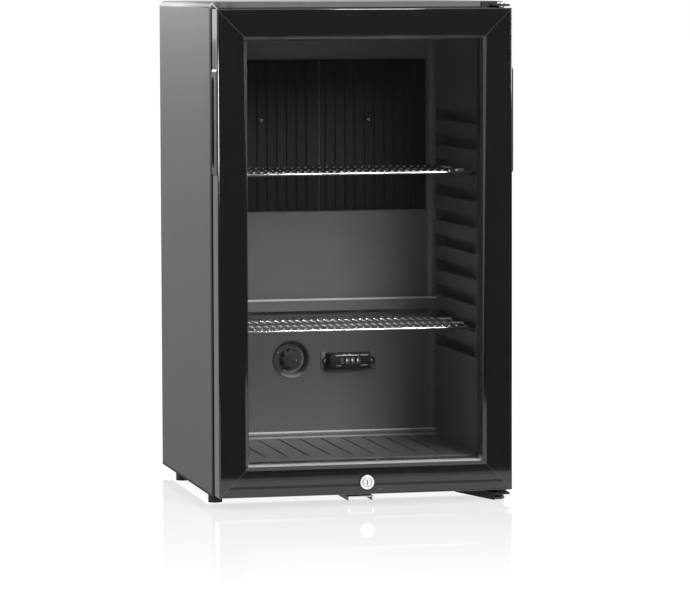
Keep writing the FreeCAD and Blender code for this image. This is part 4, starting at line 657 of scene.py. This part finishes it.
def closed_skin(piece, merge=False):
    """Merges a mesh's doubles if asked, turns its faces outwards and leaves edit mode."""
    bpy.ops.mesh.select_all(action="SELECT")
    if merge:
        bpy.ops.mesh.remove_doubles(threshold=0.001 * MM)
    bpy.ops.mesh.normals_make_consistent(inside=False)
    bpy.ops.object.mode_set(mode="OBJECT")
    return piece


def pick(piece, kind, test):
    """Selects the parts of a mesh whose middle in millimetres passes a test, in edit mode."""
    edit(piece)
    bpy.ops.mesh.select_mode(type=kind)
    bpy.ops.mesh.select_all(action="DESELECT")
    bpy.ops.object.mode_set(mode="OBJECT")
    mesh = piece.data
    if kind == "FACE":
        for face in mesh.polygons:
            face.select = test(face.center / MM, face.normal)
    elif kind == "EDGE":
        for line in mesh.edges:
            ends = [mesh.vertices[i].co / MM for i in line.vertices]
            line.select = test(ends[0], ends[1])
    else:
        for point in mesh.vertices:
            point.select = test(point.co / MM)
    bpy.ops.object.mode_set(mode="EDIT")


def smooth(piece, angle):
    """Back to object mode, smooth but for edges sharper than the angle."""
    only(piece)
    bpy.ops.object.shade_smooth_by_angle(angle=math.radians(angle))
    return piece


def turned(name, foot, way, rings, vertices=48):
    """A turned piece: a disc drawn out ring by ring. Rings are (distance, radius) in mm from
    the foot along a way, the first one at zero."""
    way = Vector(way)
    foot = Vector(foot)
    deselect()
    turn = way.to_track_quat("Z", "Y").to_euler()
    first, radius = rings[0]
    bpy.ops.mesh.primitive_circle_add(vertices=vertices, radius=radius * MM, fill_type="NGON",
                                      location=metres(foot), rotation=turn)
    piece = settle(name)
    bpy.ops.object.mode_set(mode="EDIT")
    bpy.ops.mesh.select_mode(type="FACE")
    bpy.ops.mesh.select_all(action="SELECT")
    for distance, wide in rings[1:]:
        step = way * (distance - first) * MM
        bpy.ops.mesh.extrude_region_move(TRANSFORM_OT_translate={"value": step})
        here = (foot + way * distance) * MM
        bpy.ops.transform.resize(value=[wide / radius] * 3, center_override=here)
        first, radius = distance, wide
    return closed_skin(piece)


def joined(name, *pieces):
    """One piece out of several."""
    deselect()
    for piece in pieces:
        piece.select_set(True)
    bpy.context.view_layer.objects.active = pieces[0]
    bpy.ops.object.join()
    whole = bpy.context.object
    whole.name = name
    return whole


def copied(piece, name, move):
    """A copy with its own mesh, moved by a distance in millimetres."""
    only(piece)
    bpy.ops.object.duplicate_move(TRANSFORM_OT_translate={"value": metres(move)})
    return settle(name)


def bent_wire(name, points, radius, bend, closed=False, fine=1):
    """Round wire along points in millimetres, its corners bent to a radius."""
    deselect()
    bpy.ops.mesh.primitive_plane_add(size=MM, location=metres(points[0]))
    piece = settle(name)
    bpy.ops.object.mode_set(mode="EDIT")
    bpy.ops.mesh.select_mode(type="VERT")
    bpy.ops.mesh.select_all(action="SELECT")
    bpy.ops.mesh.merge(type="CENTER")
    for here, there in zip(points, points[1:]):
        step = metres(b - a for a, b in zip(here, there))
        bpy.ops.mesh.extrude_vertices_move(TRANSFORM_OT_translate={"value": step})
    ends = [Vector(points[0]), Vector(points[-1])]
    if closed:
        pick(piece, "VERT", lambda point: min((point - end).length for end in ends) < 0.01)
        bpy.ops.mesh.edge_face_add()
        bpy.ops.mesh.select_all(action="SELECT")
    else:
        pick(piece, "VERT", lambda point: min((point - end).length for end in ends) > 0.01)
    bpy.ops.mesh.bevel(offset=bend * MM, segments=6, affect="VERTICES")
    bpy.ops.object.mode_set(mode="OBJECT")
    bpy.ops.object.convert(target="CURVE")
    line = bpy.context.object.data
    line.bevel_depth = radius * MM
    line.bevel_resolution = fine
    line.use_fill_caps = not closed
    bpy.ops.object.convert(target="MESH")
    piece = bpy.context.object
    edit(piece)
    return smooth(closed_skin(piece, merge=True), 50)


def hollowed(piece):
    """Joins the two end discs of a turned piece into a bore right through it."""
    edit(piece)
    bpy.ops.mesh.select_mode(type="FACE")
    bpy.ops.mesh.select_all(action="DESELECT")
    bpy.ops.mesh.select_face_by_sides(number=4, type="GREATER")
    bpy.ops.mesh.bridge_edge_loops()
    return closed_skin(piece)


def carve(piece, cutter):
    """Takes a cutter out of a piece."""
    only(piece)
    gap = piece.modifiers.new("gap", "BOOLEAN")
    gap.object = cutter
    gap.solver = "EXACT"
    bpy.ops.object.modifier_apply(modifier="gap")
    deselect()
    cutter.select_set(True)
    bpy.ops.object.delete()
    return piece


def rounded(piece, width, test, segments=2):
    """Rounds the edges of a piece that pass a test."""
    pick(piece, "EDGE", test)
    bpy.ops.mesh.bevel(offset=width * MM, segments=segments)
    bpy.ops.object.mode_set(mode="OBJECT")
    return piece


def row_of(piece, count, step):
    """Repeats a piece in a row, a step in millimetres apart."""
    only(piece)
    row = piece.modifiers.new("row", "ARRAY")
    row.count = count
    row.use_relative_offset = False
    row.use_constant_offset = True
    row.constant_offset_displace = metres(step)
    bpy.ops.object.modifier_apply(modifier="row")
    return piece


def dress(piece, body, slot, material, *stands_for):
    """Gives a piece its body and its material if one is given, and hides the nodes that it
    stands for. The record slot is not used.
    """
    if material:
        paint(piece, material)
    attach(piece, body)
    if stands_for:
        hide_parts(*stands_for)


# ---------------------------------------------------------------- wire shelves


def wire_shelf():
    """Lower shelf: an outer wire that rests in the guides, its front bar raised a little, two
    cross wires on it, and thirty inner wires cut off flush on the front bar and bent down
    onto the rear one."""
    outer_radius, cross_radius, inner_radius = 2.0, 1.3, 1.25
    left, right = SHELF_LOW.x + outer_radius, SHELF_HIGH.x - outer_radius
    front, rear = SHELF_LOW.y + 3, SHELF_HIGH.y - 3
    side = round(SHELF_LOW.z + outer_radius, 1)
    bar = side + 3.1
    ramp_top, ramp_foot = -108, -99
    frame_wire = bent_wire("shelf_frame", [(left, front, bar), (right, front, bar),
                                           (right, ramp_top, bar), (right, ramp_foot, side),
                                           (right, rear, side), (left, rear, side),
                                           (left, ramp_foot, side), (left, ramp_top, bar)],
                           outer_radius, 4, closed=True, fine=3)
    paint(frame_wire, WIRE, CUT_END)

    cross_front, cross_pitch = -54.7, 66.9
    on_top = side + outer_radius + cross_radius - 0.1
    cross = bent_wire("shelf_cross", [(left, cross_front, on_top), (0, cross_front, on_top),
                                      (right, cross_front, on_top)], cross_radius, 1)
    row_of(cross, 2, (0, cross_pitch, 0))

    first, pitch, count = -144.3, 9.95, 30
    cut_end, bend_top, bend_foot = -129.6, 57.5, 63.4
    run, sunk_end = side + 5.8, side + 2.6
    inner = bent_wire("shelf_inner", [(first, cut_end, run), (first, 0, run),
                                      (first, bend_top, run), (first, bend_foot, sunk_end)],
                      inner_radius, 2.4)
    row_of(inner, count, (pitch, 0, 0))
    paint(inner, WIRE, CUT_END)
    for face in inner.data.polygons:
        if face.normal.y < -0.9:
            face.material_index = 1
    return joined("wire_shelf_lower", frame_wire, cross, inner)


lower_shelf = wire_shelf()
upper_shelf = copied(lower_shelf, "wire_shelf_upper", (0, 0, SHELF_STEP))
dress(lower_shelf, "cabinet", "bright_wire", None, "shelf_lower")
dress(upper_shelf, "cabinet", "bright_wire", None, "shelf_upper")

# ---------------------------------------------------------------- thermostat

FRONTWARDS = (0, -1, 0)
DIAL = (KNOB_LOW + KNOB_HIGH) / 2
DISH_DEPTH = 2.0
DISH_FLOOR = DISH_HIGH.y - DISH_DEPTH
KNOB_FOOT = KNOB_HIGH.y - 0.05
KNOB_FACE = KNOB_FOOT - 10
PRINT_RISE = 0.4


def on_dial(y, rise=0):
    """A point on the dial's axis, or as much above it."""
    return DIAL.x, y, DIAL.z + rise


def round_dial(radius, angle):
    """x and z of a point of the printed scale; the angle in degrees from the right."""
    turn = math.radians(angle)
    return (DIAL.x + radius * math.cos(turn),
            DIAL.z + PRINT_RISE + radius * math.sin(turn))


def dial_dish():
    """Conical dish with a flat rim on the liner and a bore for the thermostat's shaft."""
    bore = 3.3
    dish = turned("thermostat_dish", on_dial(DISH_HIGH.y), FRONTWARDS,
                  [(0, bore), (0, 22.6), (12.0, 23.8), (12.0, 26.4), (13.5, 26.4),
                   (14.0, 26.0), (13.8, 25.5), (11.9, 23.2), (2.6, 21.0), (DISH_DEPTH, 20.4),
                   (DISH_DEPTH, bore)], vertices=64)
    return smooth(hollowed(dish), 30)


def lobed_knob():
    """Moulded knob with eight lobes between finger notches and a small raised hub. Its rim
    has twelve corners a lobe, and the notches pull seven of them inwards."""
    lobes, corners_a_lobe, hub_reach = 8, 12, 5
    rim = turned("knob_rim", on_dial(KNOB_FOOT), FRONTWARDS,
                 [(0, 13.9), (9.6, 13.9), (10.2, 13.5)], vertices=lobes * corners_a_lobe)
    step = 360 / (lobes * corners_a_lobe)
    for share, notch in ((0.80, (7,)), (0.815, (6, 8)), (0.87, (5, 9)), (0.965, (4, 10))):
        pick(rim, "VERT", lambda point: round(math.degrees(math.atan2(
            point.z - DIAL.z, point.x - DIAL.x)) / step) % corners_a_lobe in notch
            and math.hypot(point.x - DIAL.x, point.z - DIAL.z) > hub_reach)
        bpy.ops.transform.resize(value=(share, 1, share),
                                 center_override=metres(on_dial(KNOB_FACE)))
    rounded(rim, 0.5, lambda a, b: max(a.y, b.y) < KNOB_FACE - 0.1)
    hub = turned("knob_hub", on_dial(KNOB_FACE), FRONTWARDS,
                 [(0, 4.6), (0.9, 4.4), (1.2, 4.0), (1.25, 2.6), (0.7, 2.4), (0.7, 0.6)])
    return smooth(joined("lobed_knob", rim, hub), 40)


def print_dot(name, at):
    """Small domed dot of ink."""
    return smooth(turned(name, at, FRONTWARDS, [(0, 1.2), (0.25, 1.1), (0.4, 0.8), (0.45, 0.2)],
                         vertices=24), 60)


def dial_arc(name, radius, width, start, sweep):
    """Line of ink round the dial on the floor of its dish, clockwise from a start; angles in
    degrees from the right."""
    sunk, proud, half = 0.05, 0.25, 0.1
    turn = math.radians(start)
    x, z = round_dial(radius, start)
    line = block(name, (x - width / 2, DISH_FLOOR - proud, z - half),
                 (x + width / 2, DISH_FLOOR + sunk, z + half), turn=(0, -turn, 0))
    ahead = Vector((math.sin(turn), 0, -math.cos(turn)))
    pick(line, "FACE", lambda middle, normal: normal.dot(ahead) > 0.9)
    bpy.ops.mesh.spin(steps=54, angle=-math.radians(sweep), axis=(0, 1, 0),
                      center=metres(on_dial(DISH_FLOOR, PRINT_RISE)))
    return closed_skin(line, merge=True)


def dial_tick(name, radius, angle):
    """Short mark across the dial's arc."""
    sunk, proud, half_length, half_width = 0.05, 0.3, 1.4, 0.55
    x, z = round_dial(radius, angle)
    mark = block(name, (x - half_length, DISH_FLOOR - proud, z - half_width),
                 (x + half_length, DISH_FLOOR + sunk, z + half_width),
                 turn=(0, -math.radians(angle), 0))
    return rounded(mark, 0.25, lambda a, b: abs(a.y - b.y) > 0.1)


def dial_print():
    """The scale: a long arc with six marks, a short inner one, and a dot."""
    radius, inner_radius = 19.3, 17.5
    start, sweep = 103.6, 219
    marks = [dial_tick("dial_tick", radius, angle)
             for angle in (start, 63.7, 17.6, -24.3, -70.8, start - sweep)]
    return joined("dial_print", dial_arc("dial_line", radius, 0.7, start, sweep),
                  dial_arc("dial_line_inner", inner_radius, 0.4, 60, 82), *marks,
                  print_dot("dial_dot", (DIAL.x - 17, DISH_FLOOR - 0.05, DIAL.z + 8.3)))


dress(dial_dish(), "cabinet", "black_plastic", DISH, "thermostat_bezel")
dress(lobed_knob(), "thermostat", "black_plastic", KNOB, "thermostat_knob")
dress(print_dot("knob_dot", (DIAL.x + 7.3, KNOB_FACE - 0.1, DIAL.z - 2)), "thermostat",
      "white_plastic", PRINT)
dress(dial_print(), "cabinet", "white_plastic", PRINT)

# ---------------------------------------------------------------- lamp

SCREW_Z = (LAMP_LOW.z + LAMP_HIGH.z) / 2
LAMP_SCREWS = LAMP_LOW.x + 6, LAMP_HIGH.x - 6
PLATE_FRONT = LAMP_HIGH.y - 2


def lamp_cover():
    """Lamp housing: a thin plate, a tapered hollow hood with four light windows, each crossed
    by a bar, and a round boss at each screw."""
    plate = rounded(block("lamp_plate", (LAMP_LOW.x, PLATE_FRONT, LAMP_LOW.z), LAMP_HIGH), 2,
                    lambda a, b: abs(a.y - b.y) > 1, 4)
    rounded(plate, 0.4, lambda a, b: max(a.y, b.y) < PLATE_FRONT + 0.25)

    hood_left, hood_right, hood_low, hood_high = 7.5, 72.5, 155.2, 179.2
    hood = block("lamp_hood", (hood_left, LAMP_LOW.y, hood_low),
                 (hood_right, PLATE_FRONT + 0.25, hood_high))
    taper, taper_middle = (0.885, 1, 0.79), (41.6, LAMP_LOW.y, 166.8)
    pick(hood, "FACE", lambda middle, normal: normal.y < -0.9)
    bpy.ops.transform.resize(value=taper, center_override=metres(taper_middle))
    bpy.ops.object.mode_set(mode="OBJECT")
    mid_depth = (LAMP_LOW.y + PLATE_FRONT) / 2
    pick(hood, "VERT", lambda point: point.x < hood_left + 10 and point.z < SCREW_Z
         and point.y > mid_depth)
    flare = -3.5
    bpy.ops.transform.translate(value=metres((flare, 0, 0)))
    bpy.ops.object.mode_set(mode="OBJECT")
    rounded(hood, 0.7, lambda a, b: min(a.y, b.y) < mid_depth, 3)
    carve(hood, block("hood_room", (12.3, 64.1, 158.6), (68.7, 78, 175.4)))

    left, width, pitch, count = 26.2, 5.2, 7.8, 4
    before, behind = 60, 66
    for low, high in ((164.0, 165.8), (166.8, 172.8)):
        window = block("hood_window", (left, before, low), (left + width, behind, high))
        carve(hood, row_of(window, count, (pitch, 0, 0)))
    bosses = [turned("lamp_boss", (x, PLATE_FRONT + 0.1, SCREW_Z), FRONTWARDS,
                     [(0, 5.2), (1.5, 5.0), (2.0, 4.6), (2.0, 3.3), (1.0, 3.2)], vertices=32)
              for x in LAMP_SCREWS]
    return smooth(joined("lamp_cover", plate, hood, *bosses), 30)


def lens_edge():
    """Edges of the clear lens that stand proud of the hood, above and below the windows."""
    rear, front = 63.4, 61.9
    bars = []
    for left, right, low, high in ((19, 52.5, 175.0, 176.1), (55, 65.5, 175.1, 176.1),
                                   (30, 33, 176.4, 177.4), (37.5, 40.5, 176.4, 177.4),
                                   (20, 27, 161.0, 161.6), (55, 65, 161.2, 161.8)):
        bar = block("lens_bar", (left, front, low), (right, rear, high))
        bars.append(rounded(bar, 0.2, lambda a, b: min(a.y, b.y) < (front + rear) / 2))
    return smooth(joined("lamp_lens_edge", *bars), 40)


dress(lamp_cover(), "cabinet", "black_plastic", LAMP, "lamp_housing")
# painted highlight: the lens's edges glow faintly
dress(lens_edge(), "cabinet", "lens_clear", LENS_EDGE_GLOW)

# ---------------------------------------------------------------- screws of the liner


def cross_screw(name, seat):
    """Pan head screw with a cross recess; seat is the middle of its head's underside."""
    x, y, z = seat
    shank, head_radius, length = 1.7, 2.9, 7
    arm, slot, slot_floor, clear = 3.6, 0.8, 1.3, 3.2
    head = turned(name, (x, y + length, z), FRONTWARDS,
                  [(0, 0.8), (1.4, shank), (length, shank), (length, head_radius),
                   (length + 0.9, head_radius), (length + 1.9, 2.4), (length + 2.3, 1.5)],
                  vertices=32)
    for wide, high in ((arm, slot), (slot, arm)):
        carve(head, block("recess", (x - wide / 2, y - clear, z - high / 2),
                          (x + wide / 2, y - slot_floor, z + high / 2)))
    return head


def liner_screws():
    """The lamp's two screws and one in the middle of each evaporator plate."""
    on_boss, on_plate = PLATE_FRONT - 1.05, corners("evaporator_plate_left")[0].y
    plate_z, plate_screws = 504.5, (-83.47, 69.53)
    seats = [(x, on_boss, SCREW_Z) for x in LAMP_SCREWS]
    seats += [(x, on_plate, plate_z) for x in plate_screws]
    screws = [cross_screw("liner_screw", seat) for seat in seats]
    return smooth(joined("liner_cross_screws", *screws), 30)


dress(liner_screws(), "cabinet", "zinc_bright", WIRE, "liner_screws")

# ---------------------------------------------------------------- lock and foot


def lock_barrel():
    """Lock case: a chromed tube through the door, its round face set on a dark ring that is
    partly a washer and partly painted shade round the face.
    """
    middle = (LOCK_LOW + LOCK_HIGH) / 2
    length = LOCK_HIGH.y - LOCK_LOW.y
    bore, barrel, washer, proud = 5.7, 8, 11, length - 1.5
    case = turned("lock_barrel", (middle.x, LOCK_HIGH.y, middle.z), FRONTWARDS,
                  [(0, bore), (0, barrel), (proud, barrel), (proud, washer),
                   (proud + 0.6, washer), (proud + 0.7, 9.6), (length - 0.1, 9.4),
                   (length, 9.2), (length, 6.8), (length - 0.4, 6.2), (length - 1.1, bore)])
    hollowed(case)
    paint(case, CASE_CHROME, SEAL)
    # the dark washer ring also stands in as painted shade round the lock's face
    for face in case.data.polygons:
        behind = face.center.y > (LOCK_LOW.y + 0.75) * MM
        outside = math.hypot(face.center.x, face.center.z - middle.z * MM) > 7 * MM
        face.material_index = 1 if behind and outside else 0
    return smooth(case, 15)


def bulb_foot():
    """Levelling foot: a glossy turned bulb, a waist, a nut and its stem."""
    middle = (FOOT_LOW + FOOT_HIGH) / 2
    stem, height = 4.0, FOOT_HIGH.z
    foot = turned("bulb_foot", (middle.x, middle.y, 0), (0, 0, 1),
                  [(0, 6.6), (0.5, 7.6), (1.6, 8.3), (2.8, 8.5), (4.0, 8.1), (5.0, 7.2),
                   (5.6, 6.4), (6.1, 6.6), (6.8, 7.0), (7.6, 6.9), (8.3, 6.2), (8.8, 5.0),
                   (8.85, stem), (height - 0.3, stem), (height, stem - 0.3)])
    return smooth(foot, 30)


dress(lock_barrel(), "door", "chrome", None, "lock_case")
dress(bulb_foot(), "levelling_foot", "foot_rubber", FOOT_GLOSS, "levelling_foot")

# ---------------------------------------------------------------- studio


def stage_material(name, colour, strength):
    """Plain card that shows one even tone."""
    material, tree, _ = start_material(name)
    glow = add(tree, "Emission", {"Color": colour, "Strength": strength})
    return end_material(material, glow)


def studio_floor():
    """Pale polished floor: white, with the fridge's shadow and a weak mirror beside it and in
    front of it that fades forward. The fridge's own gloss sees it dark far in front, so that
    the door stays black, and darker behind the door's plane."""
    material, tree, place = start_material("studio_floor")
    mirror_end, mirror_start, dark_end, door_plane, under_front = -1.1, -0.25, -0.545, -0.21, -0.15
    path = add(tree, "LightPath")
    axes = add(tree, "SeparateXYZ", {0: place})
    away = add(tree, "VectorMath", {0: place}, operation="LENGTH")
    level = add(tree, "MapRange", {"Value": away, "From Min": 0.6, "From Max": 2.5, "To Min": 0.92,
                                   "To Max": 1.0})
    glow = add(tree, "Emission", {"Color": "#ffffff", "Strength": level})
    matt = add(tree, "BsdfDiffuse", {"Color": (0.1, 0.1, 0.1, 1)})
    lit = add(tree, "AddShader", {0: glow, 1: matt})
    mirror = add(tree, "BsdfGlossy", {"Color": "#ffffff", "Roughness": 0.02})
    fade = add(tree, "MapRange", {"Value": axes.outputs["Y"], "From Min": mirror_end,
                                  "From Max": mirror_start, "To Min": 0.08, "To Max": 0.24})
    across = add(tree, "Math", {0: axes.outputs["X"]}, operation="ABSOLUTE")
    beside = add(tree, "MapRange", {"Value": across, "From Min": DOOR_HIGH.x * MM,
                                    "From Max": (DOOR_HIGH.x + 4) * MM})
    ahead = add(tree, "MapRange", {"Value": axes.outputs["Y"], "From Min": under_front,
                                   "From Max": under_front + 0.02, "To Min": 1.0, "To Max": 0.0})
    clear = add(tree, "Math", {0: beside, 1: ahead}, operation="MAXIMUM")
    mirrored = add(tree, "Math", {0: fade, 1: clear}, operation="MULTIPLY")
    seen = add(tree, "MixShader", {0: mirrored, 1: lit, 2: mirror})
    front = add(tree, "MapRange", {"Value": axes.outputs["Y"], "From Min": dark_end,
                                   "From Max": dark_end + 0.025, "To Min": 0.03, "To Max": 1.0})
    rear = add(tree, "MapRange", {"Value": axes.outputs["Y"], "From Min": door_plane,
                                  "From Max": door_plane + 0.11, "To Min": 1.0, "To Max": 0.38})
    near = add(tree, "Math", {0: front, 1: rear}, operation="MULTIPLY")
    pale = add(tree, "Emission", {"Color": "#ffffff", "Strength": near})
    bright = add(tree, "BsdfDiffuse", {"Color": "#e6e6e6"})
    bounce = add(tree, "MixShader", {0: path.outputs["Is Glossy Ray"], 1: bright, 2: pale})
    both = add(tree, "MixShader", {0: path.outputs["Is Camera Ray"], 1: bounce, 2: seen})
    return end_material(material, both)


def studio_world():
    """White background for the camera and for reflections, soft fill for the rest."""
    world = bpy.data.worlds.new("studio")
    bpy.context.scene.world = world
    world.use_nodes = True
    tree = world.node_tree
    tree.nodes.clear()
    path = add(tree, "LightPath")
    one = add(tree, "Math", {0: path.outputs["Is Camera Ray"], 1: path.outputs["Is Glossy Ray"]},
              operation="MAXIMUM")
    two = add(tree, "Math", {0: one, 1: path.outputs["Is Transmission Ray"]}, operation="MAXIMUM")
    power = add(tree, "MapRange", {"Value": two, "To Min": 0.4, "To Max": 1.0})
    back = add(tree, "Background", {"Color": "#ffffff", "Strength": power})
    add(tree, "OutputWorld", {"Surface": back})


def softbox(name, place, target, width, height, watts):
    """Soft lamp that points at a target, in metres and watts."""
    lamp = bpy.data.lights.new(name, "AREA")
    lamp.shape = "RECTANGLE"
    lamp.size = width
    lamp.size_y = height
    lamp.energy = watts
    holder = bpy.data.objects.new(name, lamp)
    bpy.context.scene.collection.objects.link(holder)
    way = Vector(target) - Vector(place)
    holder.matrix_world = (Matrix.Translation(place)
                           @ way.to_track_quat("-Z", "Y").to_matrix().to_4x4())
    holder.visible_camera = False
    return holder


def card(name, points, material):
    """Flat card of the studio, between points in metres."""
    mesh = bpy.data.meshes.new(name)
    mesh.from_pydata(points, [], [tuple(range(len(points)))])
    piece = bpy.data.objects.new(name, mesh)
    bpy.context.scene.collection.objects.link(piece)
    paint(piece, material)
    return piece


studio_world()
REACH = 40
card("studio_floor", [(-REACH, -REACH, 0), (REACH, -REACH, 0), (REACH, REACH, 0),
                      (-REACH, REACH, 0)], studio_floor())
WALL_REACH, WALL_HEIGHT = 9, 1.6
dark_wall = card("dark_wall_card", [(-WALL_REACH, -WALL_REACH, 0), (WALL_REACH, -WALL_REACH, 0),
                                    (WALL_REACH, -WALL_REACH, WALL_HEIGHT),
                                    (-WALL_REACH, -WALL_REACH, WALL_HEIGHT)],
                 stage_material("dark_card", "#ffffff", 0.03))
dark_wall.visible_camera = False
dark_wall.visible_diffuse = False
dark_wall.visible_transmission = False
dark_wall.visible_shadow = False

top_softbox = softbox("top_softbox", (0.2, -0.9, 2.6), (0, 0, 0.4), 2.2, 2.2, 50)
top_softbox.visible_glossy = False
softbox("front_softbox", (1.1, -3.6, 2.05), (-0.05, -0.1, 0.3), 1.4, 1.4, 218)
softbox("left_softbox", (-1.3, 0.8, 1.6), (-0.2, 0.05, 0.72), 0.8, 0.8, 25)
softbox("rear_softbox", (-0.8, 2.1, 1.1), (-0.2, 0.1, 0.65), 1.2, 0.8, 10)

# ---------------------------------------------------------------- camera


def photo_camera():
    """The photograph's viewpoint: its place in metres and its turns in radians, solved from
    the corners of the door and the cabinet, through a long lens."""
    place = (-1.1817, -5.33851, 0.69993)
    yaw, pitch, roll = 0.22118, 0.08053, -0.0032
    ahead = Vector((math.sin(yaw) * math.cos(pitch), math.cos(yaw) * math.cos(pitch),
                    -math.sin(pitch)))
    level = Vector((math.cos(yaw), -math.sin(yaw), 0))
    upright = level.cross(ahead)
    right = math.cos(roll) * level + math.sin(roll) * upright
    up = -math.sin(roll) * level + math.cos(roll) * upright
    lens = bpy.data.cameras.new("camera")
    lens.lens = 207.6
    lens.sensor_width = 36
    lens.sensor_fit = "HORIZONTAL"
    lens.clip_end = 200
    holder = bpy.data.objects.new("camera", lens)
    bpy.context.scene.collection.objects.link(holder)
    turn = Matrix((right, up, -ahead)).transposed().to_4x4()
    holder.matrix_world = Matrix.Translation(place) @ turn
    bpy.context.scene.camera = holder


photo_camera()
bpy.context.scene.view_settings.view_transform = "Standard"
